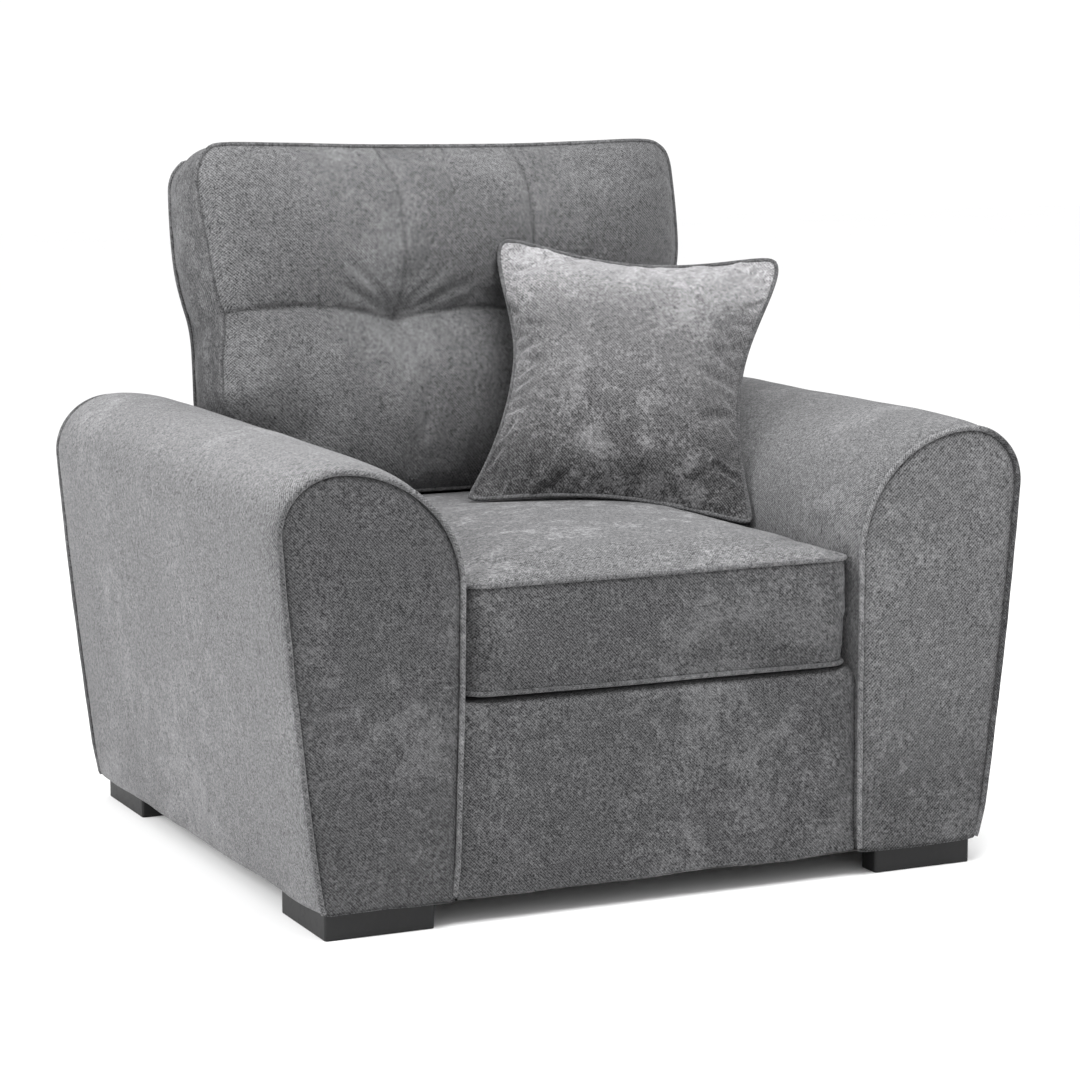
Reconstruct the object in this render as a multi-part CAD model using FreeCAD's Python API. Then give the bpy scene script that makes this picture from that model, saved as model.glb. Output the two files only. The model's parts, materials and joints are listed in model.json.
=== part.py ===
import FreeCAD, Part
import math
import os

from FreeCAD import Vector

# Upholstered armchair with three loose cushions. All sizes are in millimetres.
# X runs across the chair, Y from the front to the back, Z up.
# The origin is on the floor under the middle of the chair.

# Whole chair
arm_front_y = -453.5
arm_rear_y = 453.5
foot_height = 37.0
frame_bottom_z = 38.0

# Arm section, given for the arm at +X
arm_inner_x = 287.0
arm_crest_x = 455.0
arm_widest_x = 536.5
arm_bottom_x = 485.0
arm_waist_x = 519.0
arm_waist_z = 322.0
arm_inner_shoulder_z = 441.0
arm_outer_shoulder_z = 518.0
arm_height = 596.0

# Layers under the arm cover
cover_thickness = 4.0
arm_foam_depth = 23.8
arm_panel_inset = 24.0
arm_panel_thickness = 18.0
lining_thickness = 3.0
outer_side_inset = 7.0
outer_board_top_z = 468.0
fit_gap = 0.2

# Piping sewn into the seams
piping_radius = 4.0
piping_inset = 2.0
piping_clearance = 6.2

# Seat box between the arms
rail_half_width = 286.8
rail_thickness = 28.0
front_rail_front_y = -430.0
front_rail_thickness = 25.0
seat_rail_top_z = 268.0
side_rail_bottom_z = 100.0
side_rail_rear_y = 350.0
rear_rail_front_y = 338.0
rear_rail_thickness = 25.0
rear_rail_bottom_z = 150.0
corner_block_leg = 60.0
corner_block_bottom_z = 110.0
corner_block_height = 140.0

# Seat springs
spring_count = 5
spring_spacing = 100.0
spring_wire_radius = 1.85
spring_rows = 35
spring_half_width = 14.0
spring_front_y = -418.0
spring_rear_y = 351.0
spring_z = 271.0
clip_top_z = 274.5

# Deck under the seat cushion
deck_front_y = -424.0
deck_rear_y = 354.0
deck_half_width = 284.0
deck_pad_bottom_z = 275.0
deck_pad_top_z = 285.8
deck_top_z = 288.0

# Front border between the arms
border_front_y = -446.0
border_half_width = 284.5
border_cover_thickness = 3.0
border_corner_radius = 12.0

# Back frame, which leans to the rear as it rises
lean_degrees = 4.5
lean_reference_z = 300.0
back_front_y = 357.0
back_half_width = 286.5
back_bottom_z = 292.0
back_top_z = 759.0
back_cover_thickness = 2.5
back_pad_thickness = 12.0
back_corner_radius = 16.0
hood_rear_y = 447.0
post_thickness = 28.0
post_top_z = 742.0
webbing_thickness = 2.0
webbing_height = 50.0
webbing_count = 4
webbing_bottom_z = 375.0
webbing_spacing = 72.0
back_rail_depth = 26.0
back_top_rail_bottom_z = 662.0
back_lower_rail_bottom_z = 292.0
back_lower_rail_top_z = 352.0
back_board_bottom_z = 45.0
outside_back_half_width = 284.5
outside_back_thickness = 3.0

# Seat cushion
seat_half_width = 278.5
seat_front_y = -446.0
seat_rear_y = 350.0
seat_bottom_seam_z = 297.0
seat_top_seam_z = 437.0
seat_bottom_z = 289.0
seat_crown_z = 456.0
seat_corner_radius = 34.0

# Back cushion, in its own leaning frame
back_cushion_front_y = 235.5
back_cushion_bottom_z = 465.0
back_cushion_depth = 128.0
back_cushion_height = 500.0
back_cushion_lower_half = 276.0
back_cushion_upper_half = 378.0
ear_root_z = 52.0
ear_corner_x = 366.0
ear_corner_z = 150.0
back_cushion_crown = 16.0
back_cushion_crown_margin = 45.0

# Scatter cushion
scatter_side = 392.0
scatter_corner_radius = 16.0
scatter_centre = Vector(173.0, 17.0, 637.0)
scatter_yaw = -30.7
scatter_tilt = -30.6
scatter_roll = 4.3

cushion_cover_thickness = 3.0

# Feet
foot_outer_x = 475.5
foot_inner_x = 325.5
foot_front_y = -440.0
foot_side_length = 155.0
foot_leg = 37.0
foot_corner_radius = 7.0
screw_radius = 2.4
screw_head_radius = 5.0
screw_head_height = 3.0
screw_recess = 12.0
screw_length = 40.0
screw_end_distance = 22.0

# Bolts between the seat box and the arms
bolt_radius = 4.0
bolt_hole_radius = 4.3
bolt_head_radius = 7.5
bolt_head_height = 5.0
bolt_z = 182.0
bolt_places = [-330.0, -40.0, 250.0]
arm_rail_inner_x = 314.2
arm_rail_thickness = 25.0

# Rails inside the arms
arm_top_rail_inner_x = 430.0
arm_top_rail_outer_x = 480.0
arm_top_rail_bottom_z = 535.0
arm_top_rail_top_z = 557.0
arm_inner_rail_bottom_z = 150.0
arm_inner_rail_top_z = 215.0
arm_bottom_rail_inner_x = 311.2
arm_bottom_rail_outer_x = 474.0
arm_bottom_rail_top_z = 63.0
lining_bottom_z = 66.0

os.makedirs("parts", exist_ok=True)
lean_slope = math.tan(math.radians(lean_degrees))


def save(name, shape):
    shape.exportStep("parts/" + name + ".step")


def block(x0, x1, y0, y1, z0, z1):
    return Part.makeBox(x1 - x0, y1 - y0, z1 - z0, Vector(x0, y0, z0))


def mirrored(shape):
    return shape.mirror(Vector(0, 0, 0), Vector(1, 0, 0))


def front_to_back(shape):
    return shape.mirror(Vector(0, 0, 0), Vector(0, 1, 0))


def rounded_outline(points, radii):
    """Closed wire through the points, with each corner rounded by its radius."""
    count = len(points)
    starts = []
    ends = []
    middles = []
    for i in range(count):
        corner = points[i]
        back = (points[i - 1] - corner).normalize()
        ahead = (points[(i + 1) % count] - corner).normalize()
        half_angle = back.getAngle(ahead) / 2
        reach = radii[i] / math.tan(half_angle)
        bisector = (back + ahead).normalize()
        starts.append(corner + back * reach)
        ends.append(corner + ahead * reach)
        middles.append(corner + bisector * (radii[i] / math.sin(half_angle) - radii[i]))
    edges = []
    for i in range(count):
        edges.append(Part.Arc(starts[i], middles[i], ends[i]).toShape())
        edges.append(Part.LineSegment(ends[i], starts[(i + 1) % count]).toShape())
    return Part.Wire(edges)


def tube(path, radius):
    """Round tube along a path, square to the path's first edge."""
    first = path.Edges[0]
    start = first.valueAt(first.FirstParameter)
    direction = first.tangentAt(first.FirstParameter)
    circle = Part.Wire(Part.makeCircle(radius, start, direction))
    return path.makePipeShell([circle], True, False)


def drilled(shape, holes):
    for hole in holes:
        shape = shape.cut(hole)
    return shape


# ---- arms ----

def arm_outline(inner, top, outer, bottom_z, y):
    """Open path round the arm from the inner bottom edge over to the outer bottom edge."""
    x_in = arm_inner_x + inner
    crest_z = arm_height - top
    x_out = arm_widest_x - outer
    inner_centre = Vector(arm_crest_x, y, arm_inner_shoulder_z)
    outer_centre = Vector(arm_crest_x, y, arm_outer_shoulder_z)
    inner_ellipse = Part.Ellipse(Vector(2 * arm_crest_x - x_in, y, arm_inner_shoulder_z),
                                 Vector(arm_crest_x, y, crest_z), inner_centre)
    outer_ellipse = Part.Ellipse(Vector(x_out, y, arm_outer_shoulder_z),
                                 Vector(arm_crest_x, y, crest_z), outer_centre)
    inner_shoulder = Part.ArcOfEllipse(inner_ellipse, math.pi / 2, math.pi)
    outer_shoulder = Part.ArcOfEllipse(outer_ellipse, 0, math.pi / 2)
    drop = (frame_bottom_z - bottom_z) * (arm_waist_x - arm_bottom_x) / (arm_waist_z - frame_bottom_z)
    side = Part.Arc(Vector(x_out, y, arm_outer_shoulder_z),
                    Vector(arm_waist_x - outer, y, arm_waist_z),
                    Vector(arm_bottom_x - outer - drop, y, bottom_z))
    inner_side = Part.LineSegment(Vector(x_in, y, bottom_z), Vector(x_in, y, arm_inner_shoulder_z))
    edges = [inner_side.toShape(), inner_shoulder.toShape(), outer_shoulder.toShape(), side.toShape()]
    return Part.Wire(Part.__sortEdges__(edges))


def arm_block(inner, top, outer, bottom_z, y0, y1):
    """Solid with the arm's section, each side moved in by its own inset."""
    path = arm_outline(inner, top, outer, bottom_z, y0)
    ends = [path.OrderedVertexes[0].Point, path.OrderedVertexes[-1].Point]
    closing = Part.LineSegment(ends[1], ends[0]).toShape()
    wire = Part.Wire(Part.__sortEdges__(list(path.Edges) + [closing]))
    return Part.Face(wire).extrude(Vector(0, y1 - y0, 0))


low = frame_bottom_z
open_low = frame_bottom_z - 18.0
facing_front_y = arm_front_y + cover_thickness + fit_gap
panel_rear_y = facing_front_y + arm_panel_thickness
between = panel_rear_y + fit_gap
outer_side_zone = block(arm_crest_x, 600, -500, 500, 0, outer_board_top_z + 2)

bolt_holes = []
for place in bolt_places:
    bolt_holes.append(Part.makeCylinder(bolt_hole_radius, 100, Vector(250, place, bolt_z), Vector(1, 0, 0)))

strip_y = arm_rear_y - piping_clearance
arm_cover = arm_block(0, 0, 0, low, -strip_y, strip_y)
arm_cover = arm_cover.cut(arm_block(cover_thickness, cover_thickness, cover_thickness, open_low, -500, 500))
arm_cover = drilled(arm_cover, bolt_holes)

front_facing = arm_block(piping_clearance, piping_clearance, piping_clearance, low,
                         arm_front_y, arm_front_y + cover_thickness)
rear_facing = front_to_back(front_facing)

front_piping = tube(arm_outline(piping_inset, piping_inset, piping_inset, low, arm_front_y + piping_inset),
                    piping_radius)
arm_piping = Part.makeCompound([front_piping, front_to_back(front_piping)])

skin = cover_thickness + fit_gap
arm_foam = arm_block(skin, skin, skin, low, -strip_y, strip_y)
arm_foam = arm_foam.cut(arm_block(arm_foam_depth, arm_foam_depth, outer_side_inset, open_low, -500, 500))
arm_foam = arm_foam.cut(outer_side_zone)
arm_foam = drilled(arm_foam, bolt_holes)

outer_board = arm_block(skin, skin, skin, low, -strip_y, strip_y)
outer_board = outer_board.cut(arm_block(skin, skin, outer_side_inset, open_low, -500, 500))
outer_board = outer_board.common(block(arm_crest_x, 600, -500, 500, low + 6, outer_board_top_z))

panel_outer_inset = outer_side_inset + fit_gap
front_panel = arm_block(arm_panel_inset, arm_panel_inset, panel_outer_inset, low,
                        facing_front_y, panel_rear_y)
rear_panel = front_to_back(front_panel)

lining_inner = arm_panel_inset + lining_thickness
lining = arm_block(arm_panel_inset, arm_panel_inset, arm_panel_inset, lining_bottom_z, between, -between)
lining = lining.cut(arm_block(lining_inner, lining_inner, lining_inner, open_low, -500, 500))
lining = lining.cut(outer_side_zone)
lining = drilled(lining, bolt_holes)

arm_top_rail = block(arm_top_rail_inner_x, arm_top_rail_outer_x, between, -between,
                     arm_top_rail_bottom_z, arm_top_rail_top_z)
arm_inner_rail = block(arm_rail_inner_x, arm_rail_inner_x + arm_rail_thickness, between, -between,
                       arm_inner_rail_bottom_z, arm_inner_rail_top_z)
arm_inner_rail = drilled(arm_inner_rail, bolt_holes)

# ---- feet, with the screws that hold them to the arms' bottom rails ----

foot_rear_y = foot_front_y + foot_side_length
foot_points = [Vector(foot_inner_x, foot_front_y, 0), Vector(foot_outer_x, foot_front_y, 0),
               Vector(foot_outer_x, foot_rear_y, 0), Vector(foot_outer_x - foot_leg, foot_rear_y, 0),
               Vector(foot_outer_x - foot_leg, foot_front_y + foot_leg, 0),
               Vector(foot_inner_x, foot_front_y + foot_leg, 0)]
foot = Part.Face(rounded_outline(foot_points, [foot_corner_radius] * 6)).extrude(Vector(0, 0, foot_height))
leg_middle_x = foot_outer_x - foot_leg / 2
leg_middle_y = foot_front_y + foot_leg / 2
screw_places = [(leg_middle_x, leg_middle_y), (foot_inner_x + screw_end_distance, leg_middle_y),
                (leg_middle_x, foot_rear_y - screw_end_distance)]
screws = []
screw_holes = []
for x, y in screw_places:
    head = Part.makeCylinder(screw_head_radius, screw_head_height, Vector(x, y, screw_recess))
    shank = Part.makeCylinder(screw_radius, screw_length, Vector(x, y, screw_recess + screw_head_height))
    screws.append(head.fuse(shank).removeSplitter())
    screw_holes.append(Part.makeCylinder(screw_radius + 0.15, 80, Vector(x, y, 0)))
    recess = Part.makeCylinder(screw_head_radius + 0.5, screw_recess + screw_head_height, Vector(x, y, 0))
    foot = foot.cut(recess)
foot = drilled(foot, screw_holes)

arm_bottom_rail = block(arm_bottom_rail_inner_x, arm_bottom_rail_outer_x, between, -between,
                        low, arm_bottom_rail_top_z)
rear_screw_holes = [front_to_back(hole) for hole in screw_holes]
arm_bottom_rail = drilled(arm_bottom_rail, screw_holes + rear_screw_holes)
front_panel = drilled(front_panel, screw_holes)
rear_panel = drilled(rear_panel, rear_screw_holes)

arm_pieces = {
    "cover": arm_cover,
    "front_facing": front_facing,
    "rear_facing": rear_facing,
    "piping": arm_piping,
    "foam": arm_foam,
    "outer_board": outer_board,
    "front_panel": front_panel,
    "rear_panel": rear_panel,
    "lining": lining,
    "top_rail": arm_top_rail,
    "inner_rail": arm_inner_rail,
    "bottom_rail": arm_bottom_rail,
}
for name, shape in arm_pieces.items():
    save("arm_right_" + name, shape)
    save("arm_left_" + name, mirrored(shape))

save("foot_front_right", foot)
save("foot_front_left", mirrored(foot))
save("foot_rear_right", front_to_back(foot))
save("foot_rear_left", mirrored(front_to_back(foot)))

quarter = Part.makeCompound(screws)
half = Part.makeCompound([quarter, front_to_back(quarter)])
save("foot_screws", Part.makeCompound([half, mirrored(half)]))

bolts = []
for place in bolt_places:
    head_x = rail_half_width - rail_thickness - bolt_head_height
    head = Part.makeCylinder(bolt_head_radius, bolt_head_height, Vector(head_x, place, bolt_z),
                             Vector(1, 0, 0))
    reach = arm_rail_inner_x + arm_rail_thickness - head_x - bolt_head_height
    shank = Part.makeCylinder(bolt_radius, reach, Vector(head_x + bolt_head_height, place, bolt_z),
                              Vector(1, 0, 0))
    bolts.append(head.fuse(shank).removeSplitter())
bolts = Part.makeCompound(bolts)
save("arm_bolts", Part.makeCompound([bolts, mirrored(bolts)]))

# ---- seat box ----

front_rail_rear_y = front_rail_front_y + front_rail_thickness
side_rail_inner = rail_half_width - rail_thickness
front_rail = block(-rail_half_width, rail_half_width, front_rail_front_y, front_rail_rear_y,
                   low, seat_rail_top_z)
side_rail = block(side_rail_inner, rail_half_width, front_rail_rear_y, side_rail_rear_y,
                  side_rail_bottom_z, seat_rail_top_z)
side_rail = drilled(side_rail, bolt_holes)
post_inner = back_half_width - back_cover_thickness - fit_gap - post_thickness
rear_rail = block(-post_inner + fit_gap, post_inner - fit_gap, rear_rail_front_y,
                  rear_rail_front_y + rear_rail_thickness, rear_rail_bottom_z, seat_rail_top_z)
save("seat_front_rail", front_rail)
save("seat_side_rail_right", side_rail)
save("seat_side_rail_left", mirrored(side_rail))
save("seat_rear_rail", rear_rail)


def corner_block(y, direction):
    corner = Vector(side_rail_inner, y, corner_block_bottom_z)
    across = corner + Vector(-corner_block_leg, 0, 0)
    along = corner + Vector(0, direction * corner_block_leg, 0)
    outline = Part.makePolygon([corner, across, along, corner])
    return Part.Face(outline).extrude(Vector(0, 0, corner_block_height))


front_block = corner_block(front_rail_rear_y, 1)
rear_block = corner_block(rear_rail_front_y, -1)
corner_blocks = [front_block, rear_block, mirrored(front_block), mirrored(rear_block)]
save("seat_corner_blocks", Part.makeCompound(corner_blocks))


def serpentine_spring(x):
    """Zigzag wire of straight rows joined by half-circle bends."""
    pitch = (spring_rear_y - spring_front_y) / (spring_rows - 1)
    edges = []
    side = 1
    for row in range(spring_rows):
        y = spring_front_y + row * pitch
        start = Vector(x - side * spring_half_width, y, spring_z)
        end = Vector(x + side * spring_half_width, y, spring_z)
        edges.append(Part.LineSegment(start, end).toShape())
        if row < spring_rows - 1:
            middle = end + Vector(side * pitch / 2, pitch / 2, 0)
            edges.append(Part.Arc(end, middle, end + Vector(0, pitch, 0)).toShape())
        side = -side
    return tube(Part.Wire(edges), spring_wire_radius)


def spring_clip(x, y):
    body = block(x - 10, x + 10, y - 9, y + 9, seat_rail_top_z, clip_top_z)
    channel = Part.makeCylinder(spring_wire_radius + 0.15, 30, Vector(x - 15, y, spring_z), Vector(1, 0, 0))
    return body.cut(channel)


first_spring = serpentine_spring(0)
springs = []
clips = []
for i in range(spring_count):
    x = (i - (spring_count - 1) / 2) * spring_spacing
    spring = first_spring.copy()
    spring.translate(Vector(x, 0, 0))
    springs.append(spring)
    clips.append(spring_clip(x, spring_front_y))
    clips.append(spring_clip(x, spring_rear_y))
save("seat_springs", Part.makeCompound(springs))
save("seat_spring_clips", Part.makeCompound(clips))

save("deck_pad", block(-deck_half_width, deck_half_width, deck_front_y, deck_rear_y,
                       deck_pad_bottom_z, deck_pad_top_z))
save("deck_cover", block(-deck_half_width, deck_half_width, deck_front_y, deck_rear_y,
                         deck_pad_top_z, deck_top_z))


def border_block(inset, bottom_z, half_width):
    """Front border with its rounded top edge, moved in by the inset."""
    y = border_front_y + inset
    top = deck_top_z - inset
    radius = border_corner_radius - inset
    start = Vector(-half_width, y, bottom_z)
    arc_start = Vector(-half_width, y, top - radius)
    arc_end = Vector(-half_width, y + radius, top)
    turn = radius * (1 - math.sqrt(0.5))
    arc_middle = Vector(-half_width, y + turn, top - turn)
    rear_y = deck_front_y - fit_gap
    corner = Vector(-half_width, rear_y, top)
    foot_corner = Vector(-half_width, rear_y, bottom_z)
    edges = [Part.LineSegment(start, arc_start).toShape(),
             Part.Arc(arc_start, arc_middle, arc_end).toShape(),
             Part.LineSegment(arc_end, corner).toShape(),
             Part.LineSegment(corner, foot_corner).toShape(),
             Part.LineSegment(foot_corner, start).toShape()]
    return Part.Face(Part.Wire(edges)).extrude(Vector(2 * half_width, 0, 0))


border_cover = border_block(0, low, border_half_width)
border_cover = border_cover.cut(border_block(border_cover_thickness, open_low, border_half_width + 5))
border_pad = border_block(border_cover_thickness + fit_gap, low, border_half_width)
border_pad = border_pad.cut(block(-400, 400, front_rail_front_y - fit_gap, 0, 0, deck_pad_bottom_z))
save("front_border_cover", border_cover)
save("front_border_pad", border_pad)

dust_cover = block(-470, 470, -445, 445, foot_height, frame_bottom_z)
all_holes = screw_holes + rear_screw_holes
dust_cover = drilled(dust_cover, all_holes)
dust_cover = drilled(dust_cover, [mirrored(hole) for hole in all_holes])
save("dust_cover", dust_cover)

# ---- back frame ----


def leaning_y(y, z):
    return y + (z - lean_reference_z) * lean_slope


def leaning_block(half_width, y0, y1, z0, z1):
    """Block whose front and rear faces lean with the back."""
    points = [Vector(-half_width, leaning_y(y0, z0), z0), Vector(-half_width, leaning_y(y1, z0), z0),
              Vector(-half_width, leaning_y(y1, z1), z1), Vector(-half_width, leaning_y(y0, z1), z1)]
    outline = Part.makePolygon(points + [points[0]])
    return Part.Face(outline).extrude(Vector(2 * half_width, 0, 0))


def back_block(inset, bottom_z, rear_y):
    """Back with a leaning front, an upright rear and a rounded top front edge."""
    half_width = back_half_width - inset
    top = back_top_z - inset
    front = back_front_y + inset
    points = [Vector(-half_width, leaning_y(front, bottom_z), bottom_z),
              Vector(-half_width, rear_y, bottom_z),
              Vector(-half_width, rear_y, top),
              Vector(-half_width, leaning_y(front, top), top)]
    outline = rounded_outline(points, [0.5, 0.5, 0.5, back_corner_radius - inset])
    return Part.Face(outline).extrude(Vector(2 * half_width, 0, 0))


pad_front = back_cover_thickness + fit_gap
pad_rear = pad_front + back_pad_thickness
webbing_front_y = back_front_y + pad_rear + fit_gap
post_front_y = webbing_front_y + webbing_thickness + fit_gap

back_cover = back_block(0, back_bottom_z, hood_rear_y)
back_cover = back_cover.cut(back_block(back_cover_thickness, open_low, 500))
back_pad = back_block(pad_front, back_bottom_z, hood_rear_y)
pad_core = leaning_block(400, webbing_front_y - fit_gap, webbing_front_y + 200, 0, post_top_z + fit_gap)
back_pad = back_pad.cut(pad_core)
save("back_inside_cover", back_cover)
save("back_pad", back_pad)

post_points = [Vector(post_inner, leaning_y(post_front_y, low), low), Vector(post_inner, hood_rear_y, low),
               Vector(post_inner, hood_rear_y, post_top_z),
               Vector(post_inner, leaning_y(post_front_y, post_top_z), post_top_z)]
post = Part.Face(Part.makePolygon(post_points + [post_points[0]])).extrude(Vector(post_thickness, 0, 0))
save("back_post_right", post)
save("back_post_left", mirrored(post))
rail_half = post_inner - fit_gap
rail_rear_y = post_front_y + back_rail_depth
save("back_top_rail", leaning_block(rail_half, post_front_y, rail_rear_y,
                                    back_top_rail_bottom_z, post_top_z))
save("back_lower_rail", leaning_block(rail_half, post_front_y, rail_rear_y,
                                      back_lower_rail_bottom_z, back_lower_rail_top_z))

straps = []
for i in range(webbing_count):
    strap_z = webbing_bottom_z + i * webbing_spacing
    straps.append(leaning_block(post_inner + post_thickness, webbing_front_y,
                                webbing_front_y + webbing_thickness, strap_z, strap_z + webbing_height))
save("back_webbing", Part.makeCompound(straps))

board_front_y = hood_rear_y + fit_gap
outside_front_y = arm_rear_y - outside_back_thickness
save("back_board", block(-outside_back_half_width, outside_back_half_width, board_front_y,
                         outside_front_y - fit_gap, back_board_bottom_z, back_top_z - 2))
save("outside_back_cover", block(-outside_back_half_width, outside_back_half_width, outside_front_y,
                                 arm_rear_y, low, back_top_z))

# ---- seat cushion ----


def seat_outline(inset, z):
    half_width = seat_half_width - inset
    front = seat_front_y + inset
    rear = seat_rear_y - inset
    points = [Vector(-half_width, front, z), Vector(half_width, front, z),
              Vector(half_width, rear, z), Vector(-half_width, rear, z)]
    return rounded_outline(points, [seat_corner_radius] * 4)


def seat_block(inset):
    """Box cushion with a slightly domed top and bottom."""
    low_seam = seat_bottom_seam_z + inset
    high_seam = seat_top_seam_z - inset
    dome = seat_crown_z - seat_top_seam_z
    belly = seat_bottom_seam_z - seat_bottom_z
    levels = [(170, low_seam - belly), (50, low_seam - 0.6 * belly), (0, low_seam), (0, high_seam),
              (25, high_seam + 0.4 * dome), (80, high_seam + 0.8 * dome), (170, high_seam + dome)]
    outlines = [seat_outline(inset + margin, z) for margin, z in levels]
    return Part.makeLoft(outlines, True, True)


seat_piping = [tube(seat_outline(0, seat_top_seam_z), piping_radius),
               tube(seat_outline(0, seat_bottom_seam_z), piping_radius)]
seat_cover = seat_block(0).cut(seat_block(cushion_cover_thickness))
seat_cover = drilled(seat_cover, seat_piping)
save("seat_cushion_cover", seat_cover)
save("seat_cushion_core", seat_block(cushion_cover_thickness + fit_gap))
save("seat_cushion_piping", Part.makeCompound(seat_piping))

# ---- back cushion ----


def leaned(shape):
    """Stand a shape drawn at the origin on the seat, leaning with the back."""
    shape = shape.copy()
    shape.rotate(Vector(0, 0, 0), Vector(1, 0, 0), -lean_degrees)
    shape.translate(Vector(0, back_cushion_front_y, back_cushion_bottom_z))
    return shape


def back_cushion_outline(inset, y):
    """Outline that is narrow between the arms and wide above them."""
    lower = back_cushion_lower_half - inset
    upper = back_cushion_upper_half - inset
    ear_x = ear_corner_x - inset
    ear_z = ear_corner_z + 0.9 * inset
    root_z = ear_root_z + 0.5 * inset
    top = back_cushion_height - inset
    right = [Vector(lower, y, inset), Vector(lower, y, root_z),
             Vector(ear_x, y, ear_z), Vector(upper, y, top)]
    left = [Vector(-p.x, p.y, p.z) for p in reversed(right)]
    return rounded_outline(right + left, [18, 22, 30, 32, 32, 30, 22, 18])


def back_cushion_block(inset):
    face = Part.Face(back_cushion_outline(inset, inset))
    return face.extrude(Vector(0, back_cushion_depth - 2 * inset, 0))


back_piping = [tube(back_cushion_outline(0, 0), piping_radius),
               tube(back_cushion_outline(0, back_cushion_depth), piping_radius)]
crown_outlines = [back_cushion_outline(0, 0),
                  back_cushion_outline(18, -0.7 * back_cushion_crown),
                  back_cushion_outline(back_cushion_crown_margin, -back_cushion_crown)]
front_crown = Part.makeLoft(crown_outlines, True, True)
back_cover_solid = back_cushion_block(0).fuse(front_crown)
back_cover_solid = back_cover_solid.cut(back_cushion_block(cushion_cover_thickness))
back_cover_solid = drilled(back_cover_solid, back_piping)
save("back_cushion_cover", leaned(back_cover_solid))
save("back_cushion_filling", leaned(back_cushion_block(cushion_cover_thickness + fit_gap)))
save("back_cushion_piping", leaned(Part.makeCompound(back_piping)))

# ---- scatter cushion ----


def placed_scatter(shape):
    """Turn a cushion drawn upright at the origin into the chair's corner."""
    turn = FreeCAD.Rotation(Vector(0, 0, 1), scatter_yaw)
    tilt = FreeCAD.Rotation(Vector(1, 0, 0), scatter_tilt)
    roll = FreeCAD.Rotation(Vector(0, 1, 0), scatter_roll)
    shape = shape.copy()
    shape.Placement = FreeCAD.Placement(scatter_centre, turn.multiply(tilt).multiply(roll))
    return shape


def scatter_outline(half, radius, y):
    points = [Vector(-half, y, -half), Vector(half, y, -half),
              Vector(half, y, half), Vector(-half, y, half)]
    return rounded_outline(points, [radius] * 4)


def scatter_block(inset):
    """Square cushion, thin at its seam and full in the middle."""
    half = scatter_side / 2 - inset
    steps = [(1.0, 4.0), (0.95, 16.0), (0.84, 34.0), (0.64, 50.0), (0.34, 60.0)]
    wires = []
    for share, depth in reversed(steps):
        radius = scatter_corner_radius + 40 * (1 - share)
        wires.append(scatter_outline(half * share, radius, -depth + inset))
    for share, depth in steps:
        radius = scatter_corner_radius + 40 * (1 - share)
        wires.append(scatter_outline(half * share, radius, depth - inset))
    return Part.makeLoft(wires, True, True)


scatter_piping = tube(scatter_outline(scatter_side / 2, scatter_corner_radius, 0), piping_radius)
scatter_cover = scatter_block(0).cut(scatter_block(cushion_cover_thickness)).cut(scatter_piping)
scatter_filling = scatter_block(cushion_cover_thickness + fit_gap).cut(scatter_piping)
save("scatter_cushion_cover", placed_scatter(scatter_cover))
save("scatter_cushion_filling", placed_scatter(scatter_filling))
save("scatter_cushion_piping", placed_scatter(scatter_piping))
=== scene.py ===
import json
import math

import bpy
import bmesh
import numpy as np
from mathutils import Matrix, Vector, noise


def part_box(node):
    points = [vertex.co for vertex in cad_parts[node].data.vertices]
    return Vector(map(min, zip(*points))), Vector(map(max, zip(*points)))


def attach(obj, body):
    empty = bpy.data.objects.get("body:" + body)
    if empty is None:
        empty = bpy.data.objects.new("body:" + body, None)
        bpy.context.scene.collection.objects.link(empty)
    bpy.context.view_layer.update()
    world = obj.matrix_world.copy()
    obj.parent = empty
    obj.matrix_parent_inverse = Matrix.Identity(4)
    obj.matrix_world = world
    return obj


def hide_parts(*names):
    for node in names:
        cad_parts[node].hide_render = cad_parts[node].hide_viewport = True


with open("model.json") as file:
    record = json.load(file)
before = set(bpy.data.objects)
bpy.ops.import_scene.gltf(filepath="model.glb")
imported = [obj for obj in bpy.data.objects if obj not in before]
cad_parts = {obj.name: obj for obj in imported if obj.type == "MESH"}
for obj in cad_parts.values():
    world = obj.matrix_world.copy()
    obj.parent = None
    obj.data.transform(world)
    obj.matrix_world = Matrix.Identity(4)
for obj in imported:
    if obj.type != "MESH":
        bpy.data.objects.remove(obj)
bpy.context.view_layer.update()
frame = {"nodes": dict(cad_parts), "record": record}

# Upholstered armchair. Everything is in metres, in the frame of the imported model:
# X across the chair, Y from front to back, Z up, floor at z = 0.

SIDES = {"right": 1.0, "left": -1.0}
LEAN = math.radians(4.5)
ARM_WELT_RADIUS = 0.0038
CUSHION_WELT_RADIUS = 0.0032
SCATTER_WELT_RADIUS = 0.0031
FULL_TURN = 2 * math.pi

arm_low, arm_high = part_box("arm_right_cover")
facing_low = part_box("arm_right_front_facing")[0]
seat_low, seat_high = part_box("seat_cushion_cover")
seat_piping_low, seat_piping_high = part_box("seat_cushion_piping")
deck_low, deck_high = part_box("deck_cover")
border_low, border_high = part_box("front_border_cover")
hood_low, hood_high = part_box("back_inside_cover")
rear_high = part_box("outside_back_cover")[1]
scatter_low, scatter_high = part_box("scatter_cushion_piping")


# ---- small helpers ----

def smooth_step(value, start, end):
    t = np.clip((np.asarray(value, float) - start) / (end - start), 0, 1)
    return t * t * (3 - 2 * t)


def bell(distance, width):
    """1 at no distance, and almost nothing from two widths on."""
    return np.exp(-(distance / width) ** 2)


def drift(points, scale, seed):
    """Smooth noise at each point, about -1 to 1."""
    return np.array([noise.noise(Vector(p) * scale + Vector((seed, seed * 1.7, -seed))) for p in points])


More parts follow.
